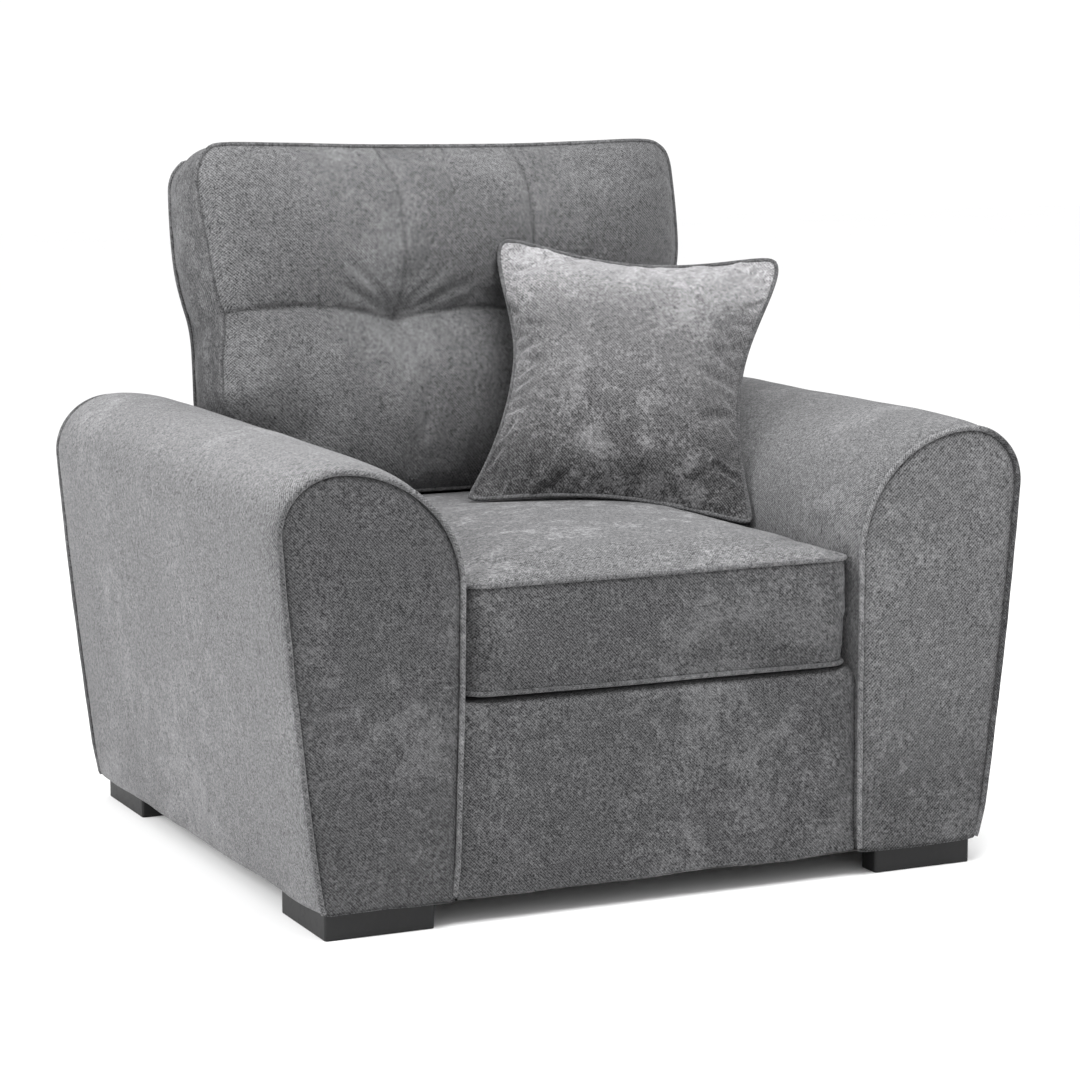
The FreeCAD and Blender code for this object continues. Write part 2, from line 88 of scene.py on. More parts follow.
def set_values(target, **values):
    for key, value in values.items():
        setattr(target, key, value)


def add_object(name, data):
    obj = bpy.data.objects.new(name, data)
    bpy.context.scene.collection.objects.link(obj)
    return obj


def shade(obj, smooth=True):
    obj.data.polygons.foreach_set("use_smooth", [smooth] * len(obj.data.polygons))


def mesh_object(name, verts, faces, material):
    mesh = bpy.data.meshes.new(name)
    mesh.from_pydata([tuple(v) for v in verts], [], faces)
    mesh.update()
    mesh.materials.append(material)
    obj = add_object(name, mesh)
    shade(obj)
    return obj


def points_of(obj, key="co"):
    values = np.empty(len(obj.data.vertices) * 3)
    obj.data.vertices.foreach_get(key, values)
    return values.reshape(-1, 3)


def normals_of(obj):
    return points_of(obj, "normal")


def set_points(obj, co):
    obj.data.vertices.foreach_set("co", np.asarray(co, float).ravel())
    obj.data.update()


def set_attributes(obj, **layers):
    """Point attributes, each from one number or from one for every point."""
    for name, values in layers.items():
        attribute = obj.data.attributes.new(name, "FLOAT", "POINT")
        attribute.data.foreach_set("value", np.full(len(obj.data.vertices), values, np.float32))


def outward(obj, join=0.0):
    """Turns every face to point out of the piece, once points closer than the join distance are one."""
    bm = bmesh.new()
    bm.from_mesh(obj.data)
    if join:
        bmesh.ops.remove_doubles(bm, verts=bm.verts, dist=join)
    bmesh.ops.recalc_face_normals(bm, faces=bm.faces)
    bm.to_mesh(obj.data)
    bm.free()


def face_outward(obj, pick, direction, join=0.0):
    """Turns an open sheet so that its most telling face, by the pick, points the given way."""
    outward(obj, join)
    face = max(obj.data.polygons, key=pick)
    if face.normal.dot(Vector(direction)) < 0:
        obj.data.flip_normals()


def apply_modifier(obj, modifier):
    bpy.ops.object.select_all(action="DESELECT")
    obj.select_set(True)
    bpy.context.view_layer.objects.active = obj
    bpy.ops.object.modifier_apply(modifier=modifier.name)


def modify(obj, kind, **settings):
    """Adds one modifier and applies it."""
    modifier = obj.modifiers.new(kind, kind)
    set_values(modifier, **settings)
    apply_modifier(obj, modifier)


def subdivide(obj):
    modify(obj, "SUBSURF", levels=1, render_levels=1)


def remesh(obj, voxel):
    modify(obj, "REMESH", mode="VOXEL", voxel_size=voxel)


def thicken(obj, thickness):
    modify(obj, "SOLIDIFY", thickness=thickness, offset=-1)


def corners_of(obj):
    """Number of the point at each face corner."""
    index = np.empty(len(obj.data.loops), np.int32)
    obj.data.loops.foreach_get("vertex_index", index)
    return index


def set_uv(obj, uv):
    layer = obj.data.uv_layers.get("weave") or obj.data.uv_layers.new(name="weave")
    layer.data.foreach_set("uv", uv.astype(np.float32).ravel())


def box_uv(obj):
    """UVs in metres, laid on each face along the two axes it faces least, so the weave keeps its size."""
    faces = obj.data.polygons
    axis = np.abs(np.array([face.normal for face in faces])).argmax(1)
    axis = np.repeat(axis, [face.loop_total for face in faces])
    flat_axes = np.array([(1, 2), (0, 2), (0, 1)])[axis]
    set_uv(obj, np.take_along_axis(points_of(obj)[corners_of(obj)], flat_axes, 1))


def grid_faces(rows, columns, wrap=False):
    """Four-sided faces between rows of points, and round from each row's end to its start where they wrap."""
    faces = []
    for r in range(rows - 1):
        for c in range(columns if wrap else columns - 1):
            n = (c + 1) % columns
            faces.append((r * columns + c, r * columns + n, (r + 1) * columns + n, (r + 1) * columns + c))
    return faces


def ring_faces(rings, count, closed=False):
    """Faces round a row of rings, which joins its own start or else has a flat cap at each end."""
    total = rings * count
    faces = [tuple(v % total for v in face) for face in grid_faces(rings + closed, count, wrap=True)]
    if not closed:
        faces += [tuple(reversed(range(count))), tuple(range(total - count, total))]
    return faces


def grid_object(name, grid, material, uv=None):
    """Surface through a rows x columns x 3 array of points, with UVs in metres."""
    obj = mesh_object(name, grid.reshape(-1, 3), grid_faces(*grid.shape[:2]), material)
    if uv is None:
        box_uv(obj)
    else:
        set_uv(obj, uv.reshape(-1, 2)[corners_of(obj)])
    return obj


def ring_solid(name, rings, material):
    """Closed solid through rings of equal length, with a flat cap at each end."""
    obj = mesh_object(name, np.vstack(rings), ring_faces(len(rings), len(rings[0])), material)
    outward(obj)
    return obj


def lengths_along(path):
    return np.concatenate([[0], np.cumsum(np.linalg.norm(np.diff(path, axis=0), axis=1))])


def points_at(path, at, lengths):
    return np.stack([np.interp(at, lengths, column) for column in path.T], 1)


def resample(path, spacing, closed=False):
    """Points at even distances along a polyline."""
    path = np.asarray(path, float)
    if closed:
        path = np.vstack([path, path[:1]])
    lengths = lengths_along(path)
    at = np.linspace(0, lengths[-1], max(4, int(round(lengths[-1] / spacing))) + 1)
    return points_at(path, at[:-1] if closed else at, lengths)


def level_points(line, count):
    """The given number of even points along an open line."""
    lengths = lengths_along(line)
    return points_at(line, np.linspace(0, lengths[-1], count), lengths)


def spaced(start, end, spacing):
    """Even numbers from the start to the end, about the spacing apart."""
    return resample([[start], [end]], spacing)[:, 0]


def tube_object(name, path, radius, material, closed=True, sides=12):
    """Piping: a round tube along a path, with UVs in metres along and round it."""
    count = len(path)
    tangents = np.roll(path, -1, 0) - np.roll(path, 1, 0) if closed else np.gradient(path, axis=0)
    tangents /= np.linalg.norm(tangents, axis=1)[:, None]
    side = np.cross(tangents[0], (0.31, 0.21, 0.93))
    side /= np.linalg.norm(side)
    frames = []
    for t in tangents:
        side = side - t * side.dot(t)
        side /= np.linalg.norm(side)
        frames.append((side, np.cross(t, side)))
    twist = math.atan2(side.dot(frames[0][1]), side.dot(frames[0][0])) if closed else 0.0
    angles = np.arange(sides) * FULL_TURN / sides
    verts = [path[i] + radius * (math.cos(angle) * a + math.sin(angle) * b)
             for i, (a, b) in enumerate(frames) for angle in angles - twist * i / count]
    obj = mesh_object(name, verts, ring_faces(count, sides, closed), material)
    ring, place = np.divmod(corners_of(obj), sides)
    if closed:
        last_faces = ring[-4 * sides:]
        last_faces[last_faces == 0] = count
    lengths = lengths_along(np.vstack([path, path[:1]]))
    set_uv(obj, np.stack([lengths[ring], place * FULL_TURN * radius / sides], 1))
    outward(obj)
    return obj


def rounded_polygon(points, radii, steps=8):
    """Closed 2-D outline with each corner rounded by its radius."""
    points = np.array(points, float)
    result = []
    for p, before, after, radius in zip(points, np.roll(points, 1, 0), np.roll(points, -1, 0), radii):
        back, ahead = before - p, after - p
        back /= np.linalg.norm(back)
        ahead /= np.linalg.norm(ahead)
        half = math.acos(np.clip(back.dot(ahead), -1, 1)) / 2
        reach = radius / math.tan(half)
        centre = p + (back + ahead) / np.linalg.norm(back + ahead) * radius / math.sin(half)
        first, last = (math.atan2(*(p + way * reach - centre)[::-1]) for way in (back, ahead))
        sweep = (last - first + math.pi) % FULL_TURN - math.pi
        for angle in first + sweep * np.arange(steps + 1) / steps:
            result.append(centre + radius * np.array([math.cos(angle), math.sin(angle)]))
    return np.array(result)


def fit(obj, slot_name, *nodes, body="chair_frame"):
    """Makes a piece ride a body and stand for CAD nodes, which it hides."""
    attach(obj, body)
    if nodes:
        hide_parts(*nodes)


# ---- materials ----

class Nodes:
    """Short names for building one material's node tree. A value is another node's output, a number or a colour."""

    def __init__(self, name):
        self.material = bpy.data.materials.new(name)
        self.material.use_nodes = True
        self.tree = self.material.node_tree
        self.tree.nodes.clear()
        self.place = self.add("TexCoord").outputs["Object"]

    def add(self, kind, values=(), **settings):
        node = self.tree.nodes.new("ShaderNode" + kind)
        set_values(node, **settings)
        for key, value in dict(values).items():
            socket = node.inputs[key]
            if isinstance(value, bpy.types.NodeSocket):
                self.tree.links.new(value, socket)
            else:
                socket.default_value = (*value, 1) if socket.type == "RGBA" else value
        return node

    def math(self, operation, *values, clamp=False):
        return self.add("Math", enumerate(values), operation=operation, use_clamp=clamp).outputs[0]

    def plus(self, a, b, clamp=False):
        return self.math("ADD", a, b, clamp=clamp)

    def minus(self, a, b):
        return self.math("SUBTRACT", a, b)

    def times(self, a, b, clamp=False):
        return self.math("MULTIPLY", a, b, clamp=clamp)

    def attribute(self, name):
        return self.add("Attribute", attribute_name=name).outputs["Fac"]

    def stretched(self, x, y, z):
        return self.add("Mapping", {"Vector": self.place, "Scale": (x, y, z)}).outputs["Vector"]

    def noise(self, scale, detail=3.0, roughness=0.55, distortion=0.0, vector=None):
        return self.add("TexNoise", {"Scale": scale, "Detail": detail, "Roughness": roughness,
                                     "Distortion": distortion, "Vector": vector or self.place}).outputs["Fac"]

    def ramp(self, source, stops):
        """Eased ramp of grey through (place, value) stops."""
        node = self.add("ValToRGB", {"Fac": source})
        node.color_ramp.interpolation = "EASE"
        elements = node.color_ramp.elements
        while len(elements) < len(stops):
            elements.new(0.5)
        for element, (position, value) in zip(elements, stops):
            element.position = position
            element.color = (value, value, value, 1)
        return node.outputs["Color"]

    def mix(self, fac, a, b):
        factor, colour_a, colour_b, colour = 0, 6, 7, 2
        return self.add("Mix", {factor: fac, colour_a: a, colour_b: b}, data_type="RGBA").outputs[colour]

    def bump(self, height, strength, distance, **normal):
        values = {"Height": height, "Strength": strength, "Distance": distance, **normal}
        return self.add("Bump", values).outputs["Normal"]

    def finish(self, colour, roughness, normal=None, **values):
        """Shader and output. Underscores in a value's name stand for spaces."""
        values = {key.replace("_", " "): value for key, value in values.items()}
        if normal:
            values["Normal"] = normal
        shader = self.add("BsdfPrincipled", {"Base Color": colour, "Roughness": roughness, **values})
        self.add("OutputMaterial", {"Surface": shader.outputs["BSDF"]})
        return self.material


TWILL_PITCH = 0.0044
CROSS_PITCH = 0.0036


def chenille(name, dark, light, patch_contrast, patch_scale=30.0, weave_depth=1.0, sheen=0.14):
    """Brushed twill: a fine diagonal weave, fuzz, and flecked patches where the pile lies another way.
    The point attribute for pile and painted light makes a part lighter or darker, for the lie of its pile and as
    painted light and shade, and its marks stronger where it is lighter. "calm" takes the brushed patches away, or
    adds to them below 0, and "seam" paints shade along a sewn line and across the gap under the seat cushion."""
    n = Nodes(name)
    place = n.add("SeparateXYZ", {"Vector": n.add("UVMap", uv_map="weave").outputs["UV"]})
    u, v = place.outputs["X"], place.outputs["Y"]
    wander = n.times(n.minus(n.noise(300, 2, 0.6), 0.5), 4.0)
    twill = n.math("SINE", n.plus(n.times(n.plus(u, v), FULL_TURN / TWILL_PITCH), wander))
    cross = n.math("SINE", n.plus(n.times(n.minus(u, v), FULL_TURN / CROSS_PITCH), wander))
    fuzz = n.minus(n.noise(360, 2, 0.75), 0.5)
    weave = n.plus(n.plus(n.times(twill, 0.34), n.times(cross, 0.22)), n.times(fuzz, 3.4))

    fibres = n.minus(n.noise(170, 6, 0.82), 0.5)
    patches = n.minus(n.noise(patch_scale, 5, 0.6, 0.3), 0.5)
    broad = n.minus(n.noise(5.0, 2, 0.5), 0.5)
    where = n.ramp(n.noise(4.5, 2, 0.5), [(0.42, 0.3), (0.62, 1.0)])
    brushed = n.plus(n.times(fibres, 1.9), n.times(n.times(patches, where), 1.9))
    brushed = n.plus(n.times(brushed, n.minus(1.0, n.attribute("calm"))), n.times(broad, 1.2))
    brushed = n.ramp(n.plus(brushed, 0.22), [(0.15, 0.0), (0.6, 0.4), (1.0, 1.0)])
    flecks = n.ramp(n.noise(105, 4, 0.7, vector=n.stretched(1.0, 1.0, 0.3)), [(0.56, 0.0), (0.72, 1.0)])
    nap = n.attribute("nap")
    marks = n.plus(n.times(weave, 0.31 * weave_depth), n.times(fibres, 0.75))
    marks = n.minus(marks, n.times(flecks, 0.12))
    marks = n.times(marks, n.plus(n.times(n.math("MAXIMUM", nap, 0.0), 3.2), 1.0))
    tone = n.plus(n.plus(n.times(brushed, patch_contrast), marks), nap)
    tone = n.times(n.plus(tone, 0.30), 0.64, clamp=True)
    # The "seam" attribute mixes in painted shade, near black, along sewn lines.
    colour = n.mix(n.times(n.attribute("seam"), 0.6), n.mix(tone, dark, light), tuple(0.3 * c for c in dark))
    lumps = n.bump(n.noise(48, 4, 0.65), 0.35, 0.002)
    return n.finish(colour, 0.9, n.bump(weave, 0.6 * weave_depth, 0.0009, Normal=lumps), Specular_IOR_Level=0.15,
                    Sheen_Weight=sheen, Sheen_Roughness=0.35, Sheen_Tint=(0.9, 0.9, 0.92))


def plain_cloth(name, dark, light, pitch):
    """Open square-woven or spunbonded cloth."""
    n = Nodes(name)
    weave = n.noise(1.0 / pitch, 2, 0.6)
    tone = n.plus(n.times(weave, 0.6), n.times(n.noise(30, 3, 0.6), 0.4), clamp=True)
    return n.finish(n.mix(tone, dark, light), 0.9, n.bump(weave, 0.4, 0.0006))


def wood(name, dark, light, ring_scale=26.0):
    n = Nodes(name)
    along = n.stretched(1.0, 0.12, 1.0)
    rings = n.add("TexWave", {"Scale": ring_scale, "Distortion": 5.0, "Detail": 3.0, "Vector": along},
                  wave_type="RINGS", rings_direction="Y").outputs["Fac"]
    pores = n.noise(420, 3, 0.7, vector=along)
    tone = n.plus(n.times(rings, 0.6), n.times(pores, 0.4), clamp=True)
    return n.finish(n.mix(tone, dark, light), 0.7, n.bump(pores, 0.25, 0.0006))


def foam(name, dark, light, cell_scale=700.0):
    n = Nodes(name)
    cells = n.add("TexVoronoi", {"Scale": cell_scale, "Vector": n.place}).outputs["Distance"]
    tone = n.plus(n.times(cells, 0.7), n.times(n.noise(8), 0.4), clamp=True)
    return n.finish(n.mix(tone, dark, light), 0.95, n.bump(cells, 0.5, 0.001))


def steel(name):
    n = Nodes(name)
    grain = n.noise(900, 3, 0.6)
    colour = n.mix(n.noise(40, 4, 0.6), (0.38, 0.38, 0.39), (0.62, 0.62, 0.6))
    return n.finish(colour, n.plus(n.times(grain, 0.2), 0.28), n.bump(grain, 0.1, 0.0003), Metallic=1.0)


def moulded_plastic(name):
    """Black block with the faint grain of a spark-finished mould."""
    n = Nodes(name)
    scuffs = n.ramp(n.noise(60, 6, 0.7, 1.5), [(0.45, 0.0), (0.75, 1.0)])
    colour = n.mix(scuffs, (0.006, 0.006, 0.0064), (0.012, 0.012, 0.0126))
    grain = n.bump(n.noise(1400, 2, 0.6), 0.18, 0.0004)
    return n.finish(colour, n.plus(n.times(scuffs, 0.12), 0.5), grain, Specular_IOR_Level=0.3)


upholstery, piping_cloth = (chenille(name, (0.014, 0.014, 0.015), (0.328, 0.328, 0.334), 0.52)
                            for name in ("upholstery", "piping"))
scatter_cloth = chenille("scatter_fabric", (0.0155, 0.0153, 0.0158), (0.404, 0.400, 0.409), 0.62, patch_scale=27.0,
                         weave_depth=0.8, sheen=0.35)

inner_materials = {
    "foam": foam("foam", (0.72, 0.66, 0.47), (0.92, 0.88, 0.72)),
    "fibre": foam("fibre", (0.8, 0.8, 0.79), (0.95, 0.95, 0.94), 160.0),
    "felt": plain_cloth("felt", (0.2, 0.18, 0.16), (0.5, 0.47, 0.43), 0.004),
    "lining_cloth": plain_cloth("lining_cloth", (0.035, 0.035, 0.037), (0.15, 0.15, 0.155), 0.0022),
    "dust_cloth": plain_cloth("dust_cloth", (0.012, 0.012, 0.012), (0.035, 0.035, 0.035), 0.002),
    "webbing": plain_cloth("webbing", (0.42, 0.38, 0.3), (0.7, 0.66, 0.56), 0.002),
    "timber": wood("timber", (0.42, 0.27, 0.14), (0.68, 0.5, 0.3)),
    "plywood": wood("plywood", (0.5, 0.36, 0.2), (0.74, 0.58, 0.38), 9.0),
    "board": plain_cloth("board", (0.3, 0.22, 0.13), (0.5, 0.38, 0.24), 0.003),
    "steel": steel("steel"),
    "feet": moulded_plastic("feet"),
}
for entry in frame["record"]["subparts"]:
    material = inner_materials.get(entry["material_slot"])
    if material:
        mesh = frame["nodes"][entry["node"]].data
        mesh.materials.clear()
        mesh.materials.append(material)


# ---- arms ----

CREST_IN = 0.168
SHOULDER_DROP_IN = 0.155
SHOULDER_DROP_OUT = 0.078
WAIST_IN = 0.0175
WAIST_Z = 0.322
BOTTOM_IN = 0.0515
ARM_BOTTOM = 0.0365
WELT_SETBACK = 0.0006
ENDS = {"front": -1.0, "rear": 1.0}

inner_x = arm_low.x
widest_x = arm_high.x
crest_x = inner_x + CREST_IN
crest_z = arm_high.z


def arc(x, z, radius_x, radius_z, start, end, count):
    """Points on part of an ellipse, between two angles in degrees."""
    angles = np.radians(np.linspace(start, end, count))
    return np.stack([x + radius_x * np.cos(angles), z + radius_z * np.sin(angles)], 1)


# The two arms are not quite alike. Each one's weave runs its own way and its brushed patches differ, each cover is a
# little lighter or darker, and painted light and shade lie on the facings and piping: the right facing lit brighter,
# the piping lighter on its inner side and, on the right arm, in painted shade on its outer side...
FACING_WEAVE = {"right": (-0.86, 0.86), "left": (1.1, 1.1)}
FACING_CALM = {"right": 0.0, "left": 0.4}
FACING_PAINTED_LIGHT = {"right": 0.205, "left": 0.0}
PIPING_PAINTED_LIGHT = {"right": (0.22, -0.16), "left": (0.13, 0.03)}
COVER_NAP = {"right": 0.13, "left": 0.22}
# ... and each is a little higher, squarer, fuller, narrower, out or up at the rear, or drawn in at the bottom.
RAISED = {"right": 0.009, "left": 0.0}
SQUARED = {"right": 0.009, "left": 0.0}
CROWNED = {"right": 0.0055, "left": 0.0085}
NARROWED = {"right": 0.0022, "left": 0.0}
REAR_OUT = {"right": 0.0, "left": 0.0032}
REAR_UP = {"right": -0.005, "left": 0.004}
DRAWN_IN = {"right": 0.003, "left": 0.013}


def drawn_in(side, z):
    """How far the inner side of an arm stands out from its own top at a height."""
    return DRAWN_IN[side] * (1 - smooth_step(z, ARM_BOTTOM - 0.2, crest_z - SHOULDER_DROP_IN))


def arm_section(side, inset, tuck=0.0):
    """(x, z) points of an arm's outline, drawn as a right arm's: from under its inner edge, over the top, to under
    the outer one."""
    bottom = ARM_BOTTOM + inset
    x_in, x_out, top = inner_x + 0.002 + inset, widest_x - NARROWED[side] - inset, crest_z + RAISED[side] - inset
    shoulder_in, shoulder_out = crest_z - SHOULDER_DROP_IN, crest_z - SHOULDER_DROP_OUT + SQUARED[side]
    turn_in, turn_out = max(0.008 - inset, 0.001), max(0.014 - inset, 0.001)
    waist = (shoulder_out - WAIST_Z) / (shoulder_out - ARM_BOTTOM)
    bow = (WAIST_IN - BOTTOM_IN * waist) / (waist * (waist - 1))
    z = np.linspace(shoulder_out, bottom + turn_out, 60)[1:]
    t = (shoulder_out - z) / (shoulder_out - ARM_BOTTOM)
    x = x_out - (BOTTOM_IN * t + bow * t * (t - 1))
    line = np.vstack([
        arc(x_in + turn_in, bottom + turn_in, turn_in, turn_in, 270, 180, 6),
        [(x_in, height) for height in np.linspace(bottom + turn_in, shoulder_in, 60)[1:-1]],
        arc(crest_x, shoulder_in, crest_x - x_in, top - shoulder_in, 180, 90, 40),
        arc(crest_x, shoulder_out, x_out - crest_x, top - shoulder_out, 90, 0, 40)[1:],
        np.stack([x, z], 1),
        arc(x[-1] - turn_out, bottom + turn_out, turn_out, turn_out, 0, -90, 8)[1:]])
    if tuck:
        line = np.vstack([(x_in + turn_in + tuck, bottom), line, (x[-1] - turn_out - tuck, bottom)])
    inner = 1 - smooth_step(line[:, 0], inner_x + 0.05, crest_x)
    line[:, 0] += drawn_in(side, line[:, 1]) * inner
    return line


def trued(side, x, y, z):
    """Outline of an arm at a depth: its shoulder changes a little from the front to the rear."""
    t = (np.asarray(y) - arm_low.y) / (arm_high.y - arm_low.y)
    high = smooth_step(z, WAIST_Z + 0.06, crest_z - 0.08)
    outer = smooth_step(x, crest_x - 0.02, widest_x - 0.06)
    hang = 0.005 * t * outer * (1 - smooth_step(z, ARM_BOTTOM, ARM_BOTTOM + 0.1))
    return x + REAR_OUT[side] * t * outer, z + REAR_UP[side] * t * high - hang


def above_hem(z):
    """0 along the bottom edge of an arm, and 1 from a little above it."""
    return smooth_step(z, ARM_BOTTOM + 0.004, ARM_BOTTOM + 0.05)


def hem_wave(points, seed):
    """How far the bottom edge hangs up or down."""
    return 0.0026 * drift(points, 7.5, seed) + 0.0012 * drift(points, 24, seed + 3) - 0.0048


def section_normals(section):
    """Outward normal at each point of an arm's outline."""
    tangent = np.gradient(section, axis=0)
    tangent /= np.linalg.norm(tangent, axis=1)[:, None]
    return np.stack([-tangent[:, 1], tangent[:, 0]], 1)


def arm_cover(side, sign):
    """Cover round the arm, pulled in at the two piped seams, full between them, turned under at the bottom."""
    section = resample(arm_section(side, 0.0, 0.03), 0.007)
    normal = section_normals(section)
    steps = spaced(arm_low.y - 0.004, arm_high.y + 0.004, 0.008)
    close = np.array([0.002, 0.0045, 0.006, 0.0075, 0.009, 0.0105, 0.0125])
    y = np.concatenate([steps[:1], steps[0] + close, steps[2:-2], steps[-1] - close[::-1], steps[-1:]])
    piping_edge = facing_low.y + ARM_WELT_RADIUS - WELT_SETBACK - steps[0]
    grid = np.empty((len(y), len(section), 3))
    nap = np.empty((len(y), len(section)))
    from_end = np.minimum(y - y[0], y[-1] - y)
    above = above_hem(section[:, 1])
    crown = 0.0015 + CROWNED[side] * smooth_step(section[:, 1], crest_z - 0.26, crest_z - 0.06)
    for i, (yy, end) in enumerate(zip(y, from_end)):
        pull = -0.0010 * math.exp(-end / 0.004) - 0.0032 * math.exp(-end / 0.022)
        here = np.stack([section[:, 0], np.full(len(section), yy), section[:, 1]], 1)
        lumps = 0.0020 * drift(here, 5.0, 3.0 * sign) + 0.0009 * drift(here, 16, 8.0)
        puckers = 0.0008 * drift(here * (1, 0.3, 1), 60, 2.0) * math.exp(-end / 0.02)
        behind = 1 - math.exp(-end / 0.035)
        move = pull + puckers + (0.002 + (crown + lumps) * behind) * above
        x, z = trued(side, section[:, 0], yy, section[:, 1])
        hem = hem_wave(here, 5.0 + sign) * (1 - above)
        grid[i] = np.stack([sign * (x + normal[:, 0] * move), here[:, 1], z + normal[:, 1] * move + hem], 1)
        # Painted shade: the cover darker in a band along each piped end. On the left arm, painted light makes the
        # faces that look up lighter.
        nap[i] = COVER_NAP[side] - 0.10 * math.exp(-end / 0.02)
        nap[i] += 0.10 * smooth_step(normal[:, 1], 0.3, 0.9) * (side == "left")
    uv = np.stack(np.meshgrid(y, lengths_along(section), indexing="ij"), 2)
    obj = grid_object(f"arm_{side}_cover_soft", grid, upholstery, uv)
    # Painted shade along the piped seam at each end of the cover.
    seam = 1.2 * bell(np.maximum(from_end - piping_edge, 0), 0.0027)
    set_attributes(obj, nap=nap.ravel(), calm=0.2, seam=np.repeat(seam, len(section)))
    face_outward(obj, lambda f: f.center.z, (0, 0, 1))
    fit(obj, "upholstery", f"arm_{side}_cover")


def arm_facing(side, sign, end):
    """Panel that closes one end of the arm: low at the piped seam, slightly full inside it, turned under below."""
    out = ENDS[end]
    face_y = out * abs(facing_low.y)
    insets = [0.0020, 0.0030, 0.005, 0.0075, 0.011, 0.016, 0.023, 0.032, 0.043, 0.056, 0.07]
    count = 110
    inner_lines, outer_lines = [], []
    for inset in insets:
        line = arm_section(side, inset)
        crest = line[:, 1].argmax()
        middle = (line[:1] + line[-1:]) / 2
        for lines, half in ((inner_lines, line[:crest + 1]), (outer_lines, line[crest:][::-1])):
            lines.append(np.hstack([level_points(np.vstack([middle, half]), count), np.full((count, 1), inset)]))
    between = [inner_lines[-1] + (outer_lines[-1] - inner_lines[-1]) * t for t in np.linspace(0, 1, 11)[1:-1]]
    table = np.array(inner_lines + between + outer_lines[::-1])
    inset = table[:, :, 2]
    places = np.stack([table[:, :, 0] * sign, np.full(inset.shape, face_y), table[:, :, 1]], 2).reshape(-1, 3)
    lumps = (0.0016 * drift(places, 8, 2.0 + out) + 0.0007 * drift(places, 21, 4.0)).reshape(inset.shape)
    rise = 0.0050 * (1 - np.exp(-(inset - 0.0030) / 0.013)) - 0.0030
    rise = np.where(inset < 0.0025, -0.012, rise + lumps * smooth_step(inset, 0.005, 0.03))
    hem = hem_wave(places, 5.0 + sign).reshape(inset.shape)
    hem *= 1 - above_hem(table[:, :, 1])
    x, z = trued(side, table[:, :, 0], face_y, table[:, :, 1])
    grid = np.stack([sign * x, face_y + out * rise, z + hem], 2)
    obj = grid_object(f"arm_{side}_{end}_facing_soft", grid, upholstery, grid[:, :, [0, 2]] * FACING_WEAVE[side])
    # Painted shade in a thin line just inside the piping.
    set_attributes(obj, seam=0.8 * bell(inset - 0.0050, 0.0026).ravel())
    face_outward(obj, lambda f: f.area * (f.center.z > 0.2), (0, out, 0), join=0.0002)
    # Painted light: the right facing is lit brighter from 5 cm up to 30 cm high; both facings are also a little
    # darker all over.
    set_attributes(obj, nap=FACING_PAINTED_LIGHT[side] * smooth_step(points_of(obj)[:, 2], 0.05, 0.3) - 0.08,
                   calm=FACING_CALM[side])
    fit(obj, "upholstery", f"arm_{side}_{end}_facing")


def arm_piping(side, sign, end, *nodes):
    out = ENDS[end]
    y = out * (abs(facing_low.y) - WELT_SETBACK)
    section = resample(arm_section(side, 0.0010), 0.006)
    section = section[section[:, 1] > ARM_BOTTOM + 0.005]
    x, z = trued(side, section[:, 0], y, section[:, 1])
    path = np.stack([sign * x, np.full(len(section), y), z], 1)
    low = 1 - above_hem(section[:, 1])
    path[:, 2] += hem_wave(path * (sign, 1, 1), 5.0 + sign) * low
    path[:, 1] += 0.0006 * drift(path, 25, 1.0) - out * 0.003 * low
    path[:, 0] += 0.0006 * drift(path, 25, 4.0) - sign * 0.003 * low * np.sign(section[:, 0] - crest_x)
    obj = tube_object(f"arm_{side}_{end}_piping", path, ARM_WELT_RADIUS, piping_cloth, closed=False)
    # Painted light and shade on the piping: lighter on the inner side, and on the right arm in painted shade along
    # the outer side.
    inner_nap, outer_nap = PIPING_PAINTED_LIGHT[side]
    outer = smooth_step(np.abs(points_of(obj)[:, 0]), crest_x, crest_x + 0.05)
    set_attributes(obj, nap=inner_nap + (outer_nap - inner_nap) * outer)
    fit(obj, "piping", *nodes)


def arm_board(side, sign):
    """Plywood panel behind the front facing, cut to the same outline."""
    low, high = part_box(f"arm_{side}_front_panel")
    outline = resample(arm_section(side, 0.008), 0.012)
    rings = [[(sign * x, y, z) for x, z in outline] for y in (low.y, high.y)]
    obj = ring_solid(f"arm_{side}_front_board", rings, inner_materials["plywood"])
    shade(obj, False)
    fit(obj, "plywood", f"arm_{side}_front_panel")


def arm_padding(side, sign):
    """Foam under the cover, over the inner side and the top."""
    low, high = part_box(f"arm_{side}_foam")
    skin = arm_section(side, 0.0065)
    keep = (skin[:, 1] > low.z) & ((skin[:, 0] < crest_x) | (skin[:, 1] > crest_z - SHOULDER_DROP_OUT))
    skin = level_points(skin[keep], 60)
    thickness = np.minimum(0.022, 0.005 + 0.02 * np.arange(60) / 8)
    outline = np.vstack([skin, (skin - section_normals(skin) * thickness[:, None])[::-1]])
    rings = [[(sign * x, y, z) for x, z in outline] for y in np.linspace(low.y, high.y, 12)]
    obj = ring_solid(f"arm_{side}_padding", rings, inner_materials["foam"])
    fit(obj, "foam", f"arm_{side}_foam")


for side, sign in SIDES.items():
    arm_board(side, sign)
    arm_padding(side, sign)
    arm_cover(side, sign)
    for end in ENDS:
        arm_facing(side, sign, end)
    arm_piping(side, sign, "front", f"arm_{side}_piping")
    arm_piping(side, sign, "rear")


# ---- front border and back frame covers ----

